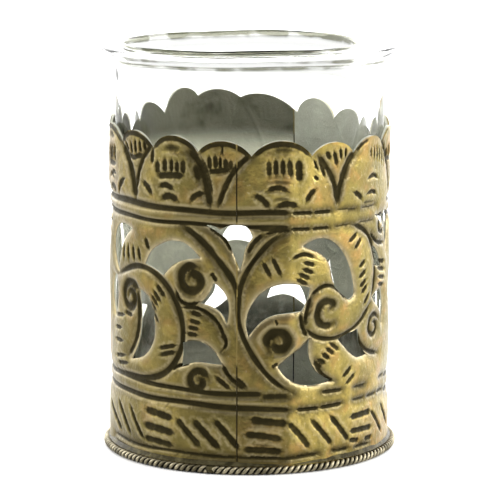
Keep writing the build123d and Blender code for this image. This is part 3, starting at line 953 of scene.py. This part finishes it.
def ring_grooves() -> list[Stroke]:
    """The lines round the sleeve: unbroken as far as the crease, and struck as separate dashes beyond it."""
    grooves = [
        ring_groove(62.95, 0.6, 1.5, 0.46),
        ring_groove(59.6, 0.7, 1.1, 0.40),
        ring_groove(19.3, 1.0, 1.2, 0.38, span=(46.0, 220.0)),
        ring_groove(15.9, 1.1, 1.35, 0.44),
        ring_groove(3.9, 0.3, 0.9, 0.22, 0.7, (172.0, 234.0)),
    ]
    for height, width, depth, dark, *spans in (
        (62.75, 0.95, 0.35, 1.0, (10.2, 15.7), (16.0, 20.8)),
        (62.9, 0.5, 0.15, 0.6, (22.5, 29.0), (31.0, 37.0)),
        (59.1, 0.9, 0.34, 1.0, (2.4, 6.8), (9.8, 15.0), (15.5, 20.2)),
        (59.1, 0.6, 0.18, 0.6, (22.0, 26.8), (30.0, 36.0)),
        (18.7, 1.5, 0.26, 0.8, (2.8, 9.3)),
        (19.1, 1.0, 0.32, 1.0, (18.2, 24.2)),
        (19.3, 0.8, 0.22, 0.7, (28.4, 33.0), (41.0, 44.5)),
        (15.6, 1.0, 0.36, 1.0, (11.4, 17.4), (17.6, 24.3)),
        (15.9, 0.8, 0.25, 0.7, (28.0, 32.4), (33.8, 38.4), (39.6, 43.6)),
        (4.1, 0.8, 0.25, 0.8, (1.0, 7.0), (8.0, 17.0), (21.3, 26.4), (29.0, 35.0)),
    ):
        grooves += [ring_groove(height, 0.5, width, depth, dark, span) for span in spans]
    return grooves


def all_strokes() -> list[Stroke]:
    """Every chased line on the strip."""
    strokes = [*ring_grooves(), *herringbone(), *FRONT_PETAL_STROKES]
    for i, ((left, right), (_, low, _)) in enumerate(zip(petal_spans(), SCALLOPS)):
        next_low = SCALLOPS[(i + 1) % len(SCALLOPS)][1]
        if i > 5:
            petal = big_petal if i % 2 else small_petal
            strokes += petal(left, right, (low + next_low) / 2)
        # Painted shade just under the edge of these petals
        if i < 4 or i > 9:
            strokes.append(shade_under_edge(left, right))
    for steps, roundel in (((0, 2), LEAF_STROKES), ((0, -2), SCROLL_STROKES)):
        strokes += [stroke.moved(step * ROUNDEL_PITCH) for step in steps for stroke in roundel]
    return strokes + [stroke.moved(BACK_MIDDLE, ROUNDEL_HEIGHT) for stroke in BACK_STROKES]


def all_openings() -> list[Opening]:
    """Every pierced opening of the strip."""
    openings, steps = [], (-2, -1, 0, 1)
    roundels = (BACK_SCROLL_OPENINGS, LEAF_OPENINGS, SCROLL_OPENINGS, BACK_LEAF_OPENINGS)
    for step, roundel in zip(steps, roundels):
        middle = FIRST_BOUNDARY + ROUNDEL_PITCH * (step + 0.5)
        openings += [gap.moved(middle, ROUNDEL_HEIGHT) for gap in roundel]
    openings += [SPANDREL.moved(FIRST_BOUNDARY + step * ROUNDEL_PITCH, ROUNDEL_HEIGHT) for step in steps]
    return openings + [gap.moved(BACK_MIDDLE, ROUNDEL_HEIGHT) for gap in BACK_OPENINGS]


# ------------ Meshes ------------


def around(radius: Reach, turn: np.ndarray, height: Reach) -> np.ndarray:
    """Points round the upright axis, one to a row, turned from the front towards +X."""
    return np.column_stack(np.broadcast_arrays(radius * np.sin(turn), -radius * np.cos(turn), height))


def linked(name: str, data: bpy.types.ID) -> bpy.types.Object:
    """A new object in the scene that shows the data."""
    new = bpy.data.objects.new(name, data)
    bpy.context.scene.collection.objects.link(new)
    return new


def mesh_object(name: str, points: np.ndarray, faces: list[tuple[int, ...]],
                edges: Iterable[tuple[int, int]] = ()) -> bpy.types.Object:
    """Makes a mesh object, with its place in its mesh.

    Args:
        name: the piece's name.
        points: its points in millimetres, one to a row.
        faces: the corners of each face, anticlockwise seen from outside.
        edges: the ends of each edge that no face has.

    Returns:
        The object, linked to the scene.
    """
    mesh = bpy.data.meshes.new(name)
    mesh.from_pydata((points * MM).tolist(), list(edges), faces)
    mesh.update()
    return linked(name, mesh)


def carry(piece: bpy.types.Object, name: str, values: np.ndarray) -> None:
    """Gives each point of a mesh a number of that name."""
    attribute = piece.data.attributes.new(name, "FLOAT", "POINT")
    attribute.data.foreach_set("value", values.astype(np.float32))


def select_only(piece: bpy.types.Object) -> None:
    """Makes a piece the only selected and the active one."""
    bpy.ops.object.select_all(action="DESELECT")
    piece.select_set(True)
    bpy.context.view_layer.objects.active = piece


def shade(piece: bpy.types.Object, angle: float) -> None:
    """Shades a piece smooth, with edges that turn by more than the angle, in degrees, left sharp."""
    select_only(piece)
    bpy.ops.object.shade_smooth_by_angle(angle=math.radians(angle))


def place(piece: bpy.types.Object, body: Body, slot: Slot, material: bpy.types.Material, *nodes: str) -> None:
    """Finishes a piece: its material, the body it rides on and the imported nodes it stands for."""
    piece.data.materials.clear()
    piece.data.materials.append(material)
    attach(piece, body.value)
    if nodes:
        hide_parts(*nodes)
    LOG.info("%s: %d faces, rides on %s", piece.name, len(piece.data.polygons), body.value)


@dataclass(frozen=True)
class Surface:
    """What the relief is at some places on the sheet."""

    height: np.ndarray
    groove: np.ndarray
    rise: np.ndarray
    rim: np.ndarray
    tarnish_and_shade: np.ndarray


@dataclass
class Relief:
    """The height of the chased sheet over its plain outside, in millimetres, and what follows from it.

    Round a stroke, distances count from its middle in halves of its width.
    """

    strokes: list[Stroke]
    openings: list[Opening]
    # The swell between strokes, how soon it rises, how far off it is felt, and for a stroke that raises none
    # how many of its widths off the stroke is felt
    swell: float = 0.55
    swell_run: float = 1.7
    reach: float = 5.0
    felt_widths: float = 2.5
    # The sheet at an opening: how far it droops, how soon, and how bright struck lips are beside it, partly
    # rubbed wear and partly painted highlight
    rim_droop: float = 0.22
    edge_run: float = 0.55
    lip_rub_and_highlight_share: float = 0.4
    # A stroke: its half width, its lip's place, width and share of the depth, how shallow the cut is where
    # the lip is whole, the depth that rubs brightest, and where the dark begins to fade
    half_width: float = 0.56
    lip_place: float = 1.45
    lip_width: float = 0.42
    lip_share: float = 0.28
    lip_free: float = 0.1
    full_depth: float = 0.45
    dark_core: float = 0.25
    crease_place: float = 9.4
    crease_height: float = 0.6
    crease_run: float = 5.0

    def turns(self, low: float, high: float, line: np.ndarray) -> list[np.ndarray]:
        """The copies of a line, a whole turn apart, that come near a stretch of the sheet."""
        copies = [line + (k * SLEEVE_LENGTH, 0.0) for k in (-1, 0, 1)]
        return [c for c in copies if c[:, 0].max() > low - self.reach and c[:, 0].min() < high + self.reach]

    def broad(self, places: np.ndarray) -> np.ndarray:
        """The slow waves of hand-rolled sheet, and its one soft crease."""
        turn = places[:, 0] / SLEEVE_RADIUS
        z = places[:, 1]
        waves = 0.16 * np.sin(3 * turn + 0.7) * np.sin(z / 17 + 1.0) + 0.08 * np.sin(7 * turn + z / 9)
        waves += 0.05 * np.sin(13 * turn - z / 6 + 2.0)
        return waves + self.crease_height * np.exp(-np.abs(self.past_crease(places)) / self.crease_run)

    def past_crease(self, places: np.ndarray) -> np.ndarray:
        """How far places lie beyond the crease towards +X, the shorter way round."""
        return (places[:, 0] - self.crease_place + SLEEVE_LENGTH / 2) % SLEEVE_LENGTH - SLEEVE_LENGTH / 2

    def tarnish_and_shade(self, places: np.ndarray) -> np.ndarray:
        """How dull the sheet is, with painted shade in it: darkest at the front left, and lightest for a
        stretch beyond the crease, a painted lighter side where the light falls.
        """
        turn, past = places[:, 0] / SLEEVE_RADIUS, self.past_crease(places)
        dull = smooth(0.62 + 0.30 * np.cos(turn + 0.35) + 0.18 * np.cos(2 * turn + places[:, 1] / 30))
        return dull * (1 - 0.8 * smooth(past / 1.5 + 0.5) * smooth((60 - past) / 20))

    def measure(self, places: np.ndarray) -> Surface:
        """Works out the relief.

        Args:
            places: places on the flat sheet, one to a row.

        Returns:
            The relief at each place.
        """
        count = len(places)
        cut, lip, dark, rubbed = np.zeros((4, count))
        gap, rim = np.full(count, self.reach), np.full(count, self.reach)
        low, high = places[:, 0].min(), places[:, 0].max()
        for number, stroke in enumerate(self.strokes):
            margin = self.reach if stroke.swells else self.felt_widths * stroke.width
            for line in self.turns(low, high, stroke.line()):
                near = self.close(places, line, margin)
                if not len(near):
                    continue
                away, along = distance_from(line, places[near])
                ends = smooth(np.minimum(along, 1 - along) / stroke.taper) if stroke.taper else 1.0
                shake = 1 + 0.10 * np.sin(along * 19 + number) + 0.07 * np.sin(along * 43 + 2 * number)
                half = stroke.width * self.half_width * (0.55 + 0.45 * ends) * shake
                part = away / half
                strength = 0.4 + 0.6 * ends
                cut[near] = np.maximum(cut[near], stroke.depth * strength * (1 - smooth(part)))
                ridge = np.exp(-(((part - self.lip_place) / self.lip_width) ** 2)) * strength
                lip[near] = np.maximum(lip[near], self.lip_share * stroke.depth * ridge)
                # How bright each lip is: rubbed wear, and a painted highlight on the lip
                rubbed[near] = np.maximum(rubbed[near], ridge * min(stroke.depth / self.full_depth, 1.0))
                shade_off = 1 - smooth(part - self.dark_core)
                dark[near] = np.maximum(dark[near], stroke.dark * strength * shade_off)
                if stroke.swells:
                    gap[near] = np.minimum(gap[near], np.maximum(away - half, 0))
        for hole in self.openings:
            outline = hole.outline()
            for line in self.turns(low, high, np.vstack([outline, outline[:1]])):
                near = self.close(places, line, self.reach)
                if len(near):
                    away, _ = distance_from(line, places[near])
                    gap[near] = np.minimum(gap[near], away)
                    rim[near] = np.minimum(rim[near], away)
        rise = 1 - np.exp(-gap / self.swell_run)
        free = 1 - smooth(cut / self.lip_free)
        edge = np.exp(-rim / self.edge_run)
        height = self.broad(places) + self.swell * (rise - 0.5) - cut + lip * free - self.rim_droop * edge
        # Bright rims: rubbed wear round the openings, and a painted highlight on the lips of the strokes
        bright = np.maximum(edge, self.lip_rub_and_highlight_share * rubbed * (1 - dark))
        return Surface(height, dark, rise, bright, self.tarnish_and_shade(places))

    @staticmethod
    def close(places: np.ndarray, line: np.ndarray, margin: float) -> np.ndarray:
        """Which places lie in the box round a line, widened by a margin."""
        low, high = line.min(0) - margin, line.max(0) + margin
        return np.nonzero(((places > low) & (places < high)).all(1))[0]


@dataclass
class RolledSheet:
    """One piece of the rolled sheet, from one place along the strip to another."""

    name: str
    start: float
    end: float
    relief: Relief
    bottom: float = PLATE_TOP
    ceiling: float = 86.0
    # The grid's step, the step along the edges, and along the strokes, whose flanks are at these shares of
    # their widths; free points keep these margins from level and upright edges
    step: float = 0.62
    fine: float = 0.3
    stroke_step: float = 0.42
    flanks: tuple[float, ...] = (0.0, 0.3, -0.3, 0.62, -0.62)
    margin: float = 0.2
    side_margin: float = 0.15
    # How far the piece sinks below its neighbours, and the number that its lining carries
    sink: float = 0.0
    lining: float = 1.0
    # How much of the relief the lining shows, down to what depth, and the least thickness under a groove
    lining_share: float = 0.15
    lining_depth: float = 0.5
    thinnest: float = 0.2

    def edge_line(self) -> np.ndarray:
        """Points round the piece, with the scalloped edge on top."""
        along = np.linspace(self.start, self.end, max(2, round((self.end - self.start) / self.fine) + 1))
        top = np.column_stack([along, top_edge(along)])[::-1]
        foot = np.column_stack([along, np.full(len(along), self.bottom)])
        return np.vstack([foot, self.upright(foot[-1], top[0]), top, self.upright(top[-1], foot[0])])

    def upright(self, first: np.ndarray, last: np.ndarray) -> np.ndarray:
        """Points between the two ends of an upright edge."""
        rows = np.linspace(first[1], last[1], round(abs(last[1] - first[1]) / self.step))[1:-1]
        return np.column_stack([np.full(len(rows), first[0]), rows])

    def own_openings(self) -> list[np.ndarray]:
        """Outlines of the openings that reach this piece."""
        found = []
        for hole in self.relief.openings:
            for line in self.relief.turns(self.start, self.end, hole.outline(self.fine)):
                if line[:, 0].max() > self.start and line[:, 0].min() < self.end:
                    found.append(line)
        return found

    def stroke_points(self) -> np.ndarray:
        """Points down the middle and both flanks of each stroke, where the relief bends most."""
        points = []
        for stroke in self.relief.strokes:
            for line in self.relief.turns(self.start, self.end, stroke.line(self.stroke_step)):
                run = np.gradient(line, axis=0)
                run /= np.hypot(*run.T)[:, None]
                side = np.column_stack([-run[:, 1], run[:, 0]])
                points += [line + side * stroke.width * flank for flank in self.flanks]
        return np.vstack(points)

    def grid_points(self) -> np.ndarray:
        """Points of a triangular grid over the piece."""
        rows = np.arange(self.bottom, self.ceiling, self.step * math.sqrt(3) / 2)
        columns = np.arange(self.start, self.end, self.step)
        return np.vstack([
            np.column_stack([columns + (j % 2) * self.step / 2, np.full(len(columns), z)])
            for j, z in enumerate(rows)
        ])

    def flat_mesh(self) -> tuple[np.ndarray, list[tuple[int, int, int]]]:
        """Lays triangles over the flat piece, with its edges and openings followed exactly."""
        loops = [self.edge_line(), *self.own_openings()]
        fixed, edges = [], []
        for loop in loops:
            base = sum(len(f) for f in fixed)
            fixed.append(loop)
            edges += [(base + i, base + (i + 1) % len(loop)) for i in range(len(loop))]
        outline = np.vstack(fixed)
        free = np.vstack([self.stroke_points(), self.grid_points()])
        free = free[(free[:, 0] > self.start + self.side_margin) & (free[:, 0] < self.end - self.side_margin)]
        free = free[free[:, 1] > self.bottom + self.margin]
        free = free[free[:, 1] < top_edge(free[:, 0]) - self.margin]
        free = self.thin(np.vstack([outline, free]), len(outline))
        points = [Vector(p) for p in np.vstack([outline, free])]
        flat, _, faces, *_ = delaunay_2d_cdt(points, edges, [], 0, 1e-4)
        flat = np.array([tuple(p) for p in flat])
        corners = np.array([f for f in faces if len(f) == 3])
        middles = flat[corners].mean(1)
        held = inside(loops[0], middles)
        for loop in loops[1:]:
            held &= ~inside(loop, middles)
        corners = corners[held]
        used, packed = np.unique(corners, return_inverse=True)
        return flat[used], [tuple(int(i) for i in f) for f in packed.reshape(corners.shape)]

    def thin(self, points: np.ndarray, kept: int) -> np.ndarray:
        """Drops points that crowd earlier ones.

        Args:
            points: all points, the ones that must stay first.
            kept: how many must stay.

        Returns:
            The free points that are left.
        """
        alive = np.ones(len(points), bool)
        for shift in (0.0, 0.5):
            cells = np.floor(points / self.fine + shift).astype(int)
            live = np.nonzero(alive)[0]
            _, first = np.unique(cells[live], axis=0, return_index=True)
            lone = np.zeros(len(points), bool)
            lone[live[first]] = True
            alive &= lone
        return points[kept:][alive[kept:]]

    def build(self) -> bpy.types.Object:
        """Rolls the piece up, gives it its thickness and returns it."""
        flat, faces = self.flat_mesh()
        surface = self.relief.measure(flat)
        sunk = self.sunk(flat[:, 1])
        outer = SLEEVE_RADIUS + surface.height - self.sink * (0.1 + 0.9 * sunk)
        inner = SLEEVE_RADIUS - SHEET_THICKNESS
        inner = inner + self.lining_share * np.maximum(surface.height, -self.lining_depth)
        inner = np.minimum(inner, outer - self.thinnest)
        turn = flat[:, 0] / SLEEVE_RADIUS
        count = len(flat)
        shells = [around(radius, turn, flat[:, 1]) for radius in (outer, inner)]
        sides = {}
        for a, b, c in faces:
            for start, end in ((a, b), (b, c), (c, a)):
                if sides.pop((end, start), None) is None:
                    sides[(start, end)] = True
        walls = [(end, start, start + count, end + count) for start, end in sides]
        lining = [(a + count, c + count, b + count) for a, b, c in faces]
        piece = mesh_object(self.name, np.vstack(shells), faces + lining + walls)
        plain = np.zeros(count)
        carried = {
            "groove": (surface.groove, plain),
            "rise": (surface.rise, surface.rise),
            "rim": (surface.rim, plain),
            "lining": (plain, plain + self.lining),
            "tarnish_and_shade": (surface.tarnish_and_shade, surface.tarnish_and_shade),
        }
        if self.sink:
            carried["sunk"] = (sunk, sunk)
        for name, values in carried.items():
            carry(piece, name, np.concatenate(values))
        shade(piece, 62)
        return piece

    @staticmethod
    def sunk(height: np.ndarray) -> np.ndarray:
        """How far a seam sinks at each height: fully in the two plain bands, not between or above them."""
        between = smooth((height - 25.0) / 3.0) * smooth((61.5 - height) / 1.5)
        return (1 - between) * (1 - smooth((height - 72.0) / 4.0))


@dataclass
class Sleeve:
    """The brass sleeve: two chased and pierced panels, the seams between them, and the plate under them."""

    brass: AntiquedBrass = field(default_factory=AntiquedBrass)
    solder: DarkSolder = field(default_factory=DarkSolder)
    seam: SeamSolder = field(default_factory=SeamSolder)
    plate: TurnedPlate = field(default_factory=TurnedPlate)

    def build(self, nodes: dict[str, bpy.types.Object]) -> None:
        """Makes the panels and seams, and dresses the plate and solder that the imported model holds."""
        relief = Relief(all_strokes(), all_openings())
        brass, solder, filed = self.brass.material(), self.solder.material(), self.seam.material()
        half = SEAM_WIDTH / 2
        for name, start, end, lining in (
            ("sleeve_panel_left", BACK_SEAM + half - SLEEVE_LENGTH, FRONT_SEAM - half, 1.0),
            ("sleeve_panel_right", FRONT_SEAM + half, BACK_SEAM - half, 0.6),
        ):
            panel = RolledSheet(f"{name}.chased", start, end, relief, lining=lining).build()
            place(panel, Body.SLEEVE, Slot.BRASS, brass, name)
        for name, middle in (("front_seam_solder", FRONT_SEAM), ("back_seam_solder", BACK_SEAM)):
            seam = RolledSheet(f"{name}.run", middle - half, middle + half, relief, sink=0.16, step=0.3)
            place(seam.build(), Body.SLEEVE, Slot.SOLDER, filed, name)
        for name, material in (
            ("base_plate", self.plate.material()),
            ("base_solder", solder),
            ("foot_solder", solder),
        ):
            nodes[name].data.materials.clear()
            nodes[name].data.materials.append(material)


@dataclass
class FootWire:
    """The ring of two strands twisted together round the foot, and the lump where its ends meet."""

    ring: float = SLEEVE_RADIUS + 1.0
    height: float = 1.0
    twist_radius: float = 0.49
    strand_radius: float = 0.50
    turns: int = 72
    lump_place: float = -9.2
    lump_length: float = 2.4
    lump_radii: tuple[float, float, float] = (1.5, 0.98, 0.98)
    wire_end: float = 0.5
    sides: int = 8
    steps_per_turn: int = 12
    finish: AntiquedWire = field(default_factory=AntiquedWire)

    def strand(self, name: str, phase: float, first: float, last: float) -> bpy.types.Object:
        """Makes one strand, from one place along the sheet to another.

        Args:
            name: the piece's name.
            phase: where in its twist the strand begins, in radians.
            first: where it begins.
            last: where it ends.

        Returns:
            The strand, with its depth in the twist as a number at each point.
        """
        count = self.turns * self.steps_per_turn
        places = np.linspace(first, last, count + 1) / SLEEVE_RADIUS
        spin = phase + np.linspace(0, 2 * math.pi * self.turns, count + 1)
        core = around(self.ring, places, self.height)
        middle = around(self.ring + self.twist_radius * np.cos(spin), places,
                        self.height + self.twist_radius * np.sin(spin))
        run = np.gradient(middle, axis=0)
        run /= np.linalg.norm(run, axis=1)[:, None]
        across = np.cross(run, (0.0, 0.0, 1.0))
        across /= np.linalg.norm(across, axis=1)[:, None]
        over = np.cross(across, run)
        angles = [2 * math.pi * side / self.sides for side in range(self.sides)]
        leans = [math.cos(angle) * across + math.sin(angle) * over for angle in angles]
        skin = np.stack([middle + self.strand_radius * lean for lean in leans], axis=1)
        faces = [
            (a + j, a + self.sides + j, a + self.sides + (j + 1) % self.sides, a + (j + 1) % self.sides)
            for a in range(0, count * self.sides, self.sides)
            for j in range(self.sides)
        ]
        faces.append(tuple(range(self.sides)))
        faces.append(tuple(count * self.sides + j for j in reversed(range(self.sides))))
        piece = mesh_object(name, skin.reshape(-1, 3), faces)
        carry(piece, "twist", np.linalg.norm(skin - core[:, None], axis=2).ravel())
        shade(piece, 60)
        return piece

    def lump(self, name: str) -> bpy.types.Object:
        """Makes the blob of solder that closes the ring."""
        bpy.ops.object.select_all(action="DESELECT")
        turn = self.lump_place / SLEEVE_RADIUS
        middle = Vector((self.ring * math.sin(turn), -self.ring * math.cos(turn), self.height)) * MM
        bpy.ops.mesh.primitive_ico_sphere_add(subdivisions=4, radius=1.0 * MM, location=(0, 0, 0))
        piece = bpy.context.object
        piece.name = piece.data.name = name
        for vertex in piece.data.vertices:
            x, y, z = vertex.co / MM
            bulge = 1 + 0.07 * math.sin(3.1 * x + 1.0) * math.cos(2.7 * z) - 0.08 * math.sin(4.0 * z + x)
            long, deep, tall = self.lump_radii
            flat = Vector((x * long * bulge, y * deep * bulge, z * tall)) * MM
            flat.rotate(Euler((0.0, 0.0, turn)))
            vertex.co = flat + middle
        shade(piece, 80)
        return piece

    def build(self, solder: bpy.types.Material) -> None:
        """Makes the strands, whose ends reach into the lump, and the lump."""
        half = self.lump_length / 2 - self.wire_end
        first, last = self.lump_place + half - SLEEVE_LENGTH, self.lump_place - half
        wire = self.finish.material()
        for name, phase in (("foot_wire.strand_a", 0.0), ("foot_wire.strand_b", math.pi)):
            strand = self.strand(name, phase, first, last)
            place(strand, Body.SLEEVE, Slot.WIRE, wire, "foot_wire")
        place(self.lump("foot_wire_lump.blob"), Body.SLEEVE, Slot.SOLDER, solder, "foot_wire_lump")


@dataclass
class GlassCup:
    """The cup: a thick straight wall with a rolled lip that flares and waves as hand-made glass does."""

    radius: float = 33.1
    foot: float = PLATE_TOP
    foot_round: float = 2.0
    bore: float = 28.6
    floor: float = 7.0
    floor_round: float = 4.0
    lip_radius: float = 36.9
    lip_start: float = 94.8
    height: float = 101.0
    steps: int = 144
    corner_steps: int = 8
    # The lip waves fully from the end of this run up, and rises no further than the last
    wave_start: float = 86.0
    wave_run: float = 12.0
    wave_top: float = 0.12
    # How much higher the flare stands at the right, and how far the bore stands off the middle
    right_lift: float = 0.7
    bore_shift: tuple[float, float, float] = (-2.3, 0.3, -0.15)
    finish: ClearGlass = field(default_factory=ClearGlass)

    def profile(self) -> list[Point]:
        """The wall's section, as (radius, height), from the middle of the underside to the inside floor."""
        def corner(centre: Point, size: float) -> list[Point]:
            """The rounded corner between a floor and a wall, from the floor up."""
            turns = [math.radians(-90 + 90 * i / self.corner_steps) for i in range(self.corner_steps + 1)]
            return [(centre[0] + size * math.cos(a), centre[1] + size * math.sin(a)) for a in turns]

        line = [(0.0, self.foot)]
        line += [(self.radius * k, self.foot) for k in (0.3, 0.6, 0.85)]
        line += corner((self.radius - self.foot_round, self.foot + self.foot_round), self.foot_round)
        line += [(self.radius, z) for z in np.linspace(10.0, self.lip_start - 4.0, 12)]
        flare = [
            (self.radius, self.lip_start - 1.4),
            (self.radius + 0.25, self.lip_start + 0.5),
            (self.radius + 1.2, self.lip_start + 2.2),
            (self.lip_radius - 1.0, self.lip_start + 3.4),
            (self.lip_radius - 0.15, self.height - 2.0),
            (self.lip_radius - 0.3, self.height - 1.35),
            (self.lip_radius - 1.1, self.height - 1.05),
            (self.lip_radius - 3.0, self.height - 1.05),
            (self.bore + 2.2, self.height - 1.0),
            (self.bore + 1.35, self.height - 0.75),
            (self.bore + 0.75, self.height - 0.14),
            (self.bore + 0.2, self.height - 0.45),
            (self.bore, self.height - 1.4),
            (self.bore, self.height - 5.0),
        ]
        line += [tuple(p) for p in curve_through(flare, 0.25)]
        low = self.floor + self.floor_round + 2.0
        line += [(self.bore, z) for z in np.linspace(self.height - 9.0, low, 12)]
        line += corner((self.bore - self.floor_round, self.floor + self.floor_round), self.floor_round)[::-1]
        line += [(self.bore * k, self.floor) for k in (0.6, 0.3)]
        line.append((0.0, self.floor))
        return line

    def edge(self, radius: float, height: float, front: float) -> float:
        """How strongly a place carries the painted shade and reflection of one of the cup's edges, where the
        glass is seen end on, more on the rings at the front.
        """
        rings = (
            (self.bore + 0.4, self.height - 0.7, 1.3 - 0.4 * front, 1.5 + 0.3 * front),
            (self.radius + 1.1, self.lip_start + 2.1, 0.8, min(0.15 + 2.5 * front, 0.95)),
            (self.lip_radius - 0.1, self.height - 1.7, 0.35, 0.45),
        )
        return max(
            strength * math.exp(-((radius - r) ** 2 + (height - z) ** 2) / width**2)
            for r, z, width, strength in rings
        )

    def wave(self, radius: float, height: float, turn: float) -> Vector:
        """How far the uneven lip stands away from a true one at a place, in millimetres."""
        share = float(smooth((height - self.wave_start) / self.wave_run))
        out = -0.15 + 0.14 * math.sin(2 * turn + 0.4) - 0.08 * math.sin(5 * turn + 1.3)
        up = -0.28 + 0.14 * math.sin(2 * turn + 2.2) + 0.16 * math.sin(3 * turn + 0.6)
        up += 0.07 * math.sin(7 * turn)
        if radius > self.radius + 0.5:
            up += self.right_lift * max(math.sin(turn), 0.0) ** 3 * (radius - self.radius - 0.5) / 3.3
        move = Vector((math.sin(turn), -math.cos(turn), 0.0)) * out
        move.z += min(up, self.wave_top)
        if radius < self.radius - 0.5:
            nearness = min((self.radius - 0.5 - radius) / 3.0, 1.0)
            move += Vector(self.bore_shift) * nearness
        return move * share

    def build(self) -> None:
        """Spins the profile round, waves the lip and dresses the cup."""
        section = np.array([(r, 0.0, z) for r, z in self.profile()])
        piece = mesh_object("glass_cup.blown", section, [], [(i, i + 1) for i in range(len(section) - 1)])
        select_only(piece)
        bpy.ops.object.mode_set(mode="EDIT")
        bpy.ops.mesh.select_all(action="SELECT")
        bpy.ops.mesh.spin(steps=self.steps, angle=2 * math.pi, center=(0, 0, 0), axis=(0, 0, 1))
        bpy.ops.mesh.select_all(action="SELECT")
        bpy.ops.mesh.remove_doubles(threshold=0.01 * MM)
        bpy.ops.mesh.normals_make_consistent(inside=False)
        bpy.ops.object.mode_set(mode="OBJECT")
        edges = []
        for vertex in piece.data.vertices:
            radius, height = math.hypot(vertex.co.x, vertex.co.y) / MM, vertex.co.z / MM
            # Painted shade and reflection along the cup's edges, stronger towards the front
            edges.append(self.edge(radius, height, max(-vertex.co.y / (self.bore * MM), 0.0)))
            vertex.co += self.wave(radius, height, math.atan2(vertex.co.x, -vertex.co.y)) * MM
        carry(piece, "edge", np.array(edges))
        shade(piece, 80)
        place(piece, Body.GLASS, Slot.GLASS, self.finish.material(), "glass_cup")


@dataclass
class Studio:
    """A white table in a white room, soft lamps at both sides, and the camera."""

    floor_size: float = 6.0
    distance: float = 0.6735
    eye: float = 0.1622
    tilt: float = 9.58
    lens: float = 198.5
    brightest: float = 6.0
    ceiling: float = 1.7
    inside: float = 2.4
    # How bright the walls are, from the left round by the front, the right and the back to the left again
    walls: tuple[tuple[float, float], ...] = (
        (0.0, 0.88), (0.083, 0.58), (0.167, 0.34), (0.25, 0.16), (0.30, 0.22), (0.335, 1.0),
        (0.42, 1.1), (0.5, 1.3), (0.54, 3.6), (0.583, 5.8), (0.64, 6.0), (0.75, 5.5), (0.86, 6.0),
        (0.917, 3.5), (0.96, 1.7), (1.0, 0.88),
    )

    def world(self) -> None:
        """Lights the room: dim in front, a bright wall on the right, and brightest behind and overhead."""
        bpy.context.scene.world = bpy.data.worlds.new("room")
        desk = NodeDesk(bpy.context.scene.world)
        way = desk.node("ShaderNodeTexCoord")
        turn = desk.node("ShaderNodeTexGradient", {"gradient_type": "RADIAL"}, {"Vector": way}, out=1)
        ramp = desk.node("ShaderNodeValToRGB", None, {"Fac": turn})
        stops = ramp.socket.node.color_ramp.elements
        while len(stops) < len(self.walls):
            stops.new(0.5)
        for stop, (share, level) in zip(stops, self.walls):
            stop.position = share
            stop.color = (*[level / self.brightest] * 3, 1.0)
        height = desk.node("ShaderNodeSeparateXYZ", None, {0: way}, out=2)
        room = desk.blend(height.fade(0.35, 0.85), ramp * self.brightest, self.ceiling)
        # A ray that has left the glass sees plain white, or more once it has met the brass
        path = desk.node("ShaderNodeLightPath")
        depths = {0: path.output("Diffuse Depth"), 1: path.output("Glossy Depth")}
        bounced = desk.node("ShaderNodeMath", {"operation": "ADD", "use_clamp": True}, depths)
        through = desk.blend(bounced, 1.0, self.inside)
        level = desk.blend(path.output("Is Transmission Ray"), room, through)
        strength = desk.blend(path.output("Is Camera Ray"), level, 1.0)
        values = {"Color": (1.0, 1.0, 1.0), "Strength": strength}
        desk.finish(values, "ShaderNodeBackground", "ShaderNodeOutputWorld")

    def floor(self) -> None:
        """Lays the table top."""
        bpy.ops.object.select_all(action="DESELECT")
        bpy.ops.mesh.primitive_circle_add(vertices=64, radius=self.floor_size, fill_type="NGON")
        top = bpy.context.object
        top.name = "table_top"
        desk = NodeDesk(bpy.data.materials.new("table_top"))
        top.data.materials.append(desk.finish({"Base Color": (0.80, 0.80, 0.795), "Roughness": 0.6}))

    def lamp(self, name: str, spot: tuple[float, float, float], size: float, power: float) -> None:
        """Hangs a square soft lamp that points at the middle of the cup."""
        light = bpy.data.lights.new(name, "AREA")
        light.shape = "SQUARE"
        light.size = size
        light.energy = power
        lamp = linked(name, light)
        lamp.location = spot
        lamp.rotation_euler = (Vector((0, 0, 0.05)) - Vector(spot)).to_track_quat("-Z", "Y").to_euler()

    def camera(self) -> None:
        """Sets the camera up in front, a little above the lip and looking slightly down."""
        data = bpy.data.cameras.new("camera")
        data.lens = self.lens
        data.sensor_width = 36.0
        camera = linked("camera", data)
        camera.location = (0.0, -self.distance, self.eye)
        camera.rotation_euler = (math.radians(90 - self.tilt), 0.0, 0.0)
        bpy.context.scene.camera = camera

    def build(self) -> None:
        """Sets up the whole studio."""
        self.camera()
        self.world()
        self.floor()
        self.lamp("left_softbox", (-0.7, -0.1, 0.35), 0.5, 3.0)
        self.lamp("right_softbox", (0.7, -0.25, 0.4), 0.5, 5.0)
        bpy.context.scene.view_settings.view_transform = "Standard"


def main(frame: dict) -> None:
    """Builds the studio and the object, and reports each piece.

    Args:
        frame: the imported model, as loaded.
    """
    logging.basicConfig(level=logging.INFO, format="%(message)s")
    Studio().build()
    Sleeve().build(frame["nodes"])
    FootWire().build(bpy.data.materials["dark_solder"])
    GlassCup().build()


if __name__ == "__main__":
    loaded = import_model()
    main(loaded)
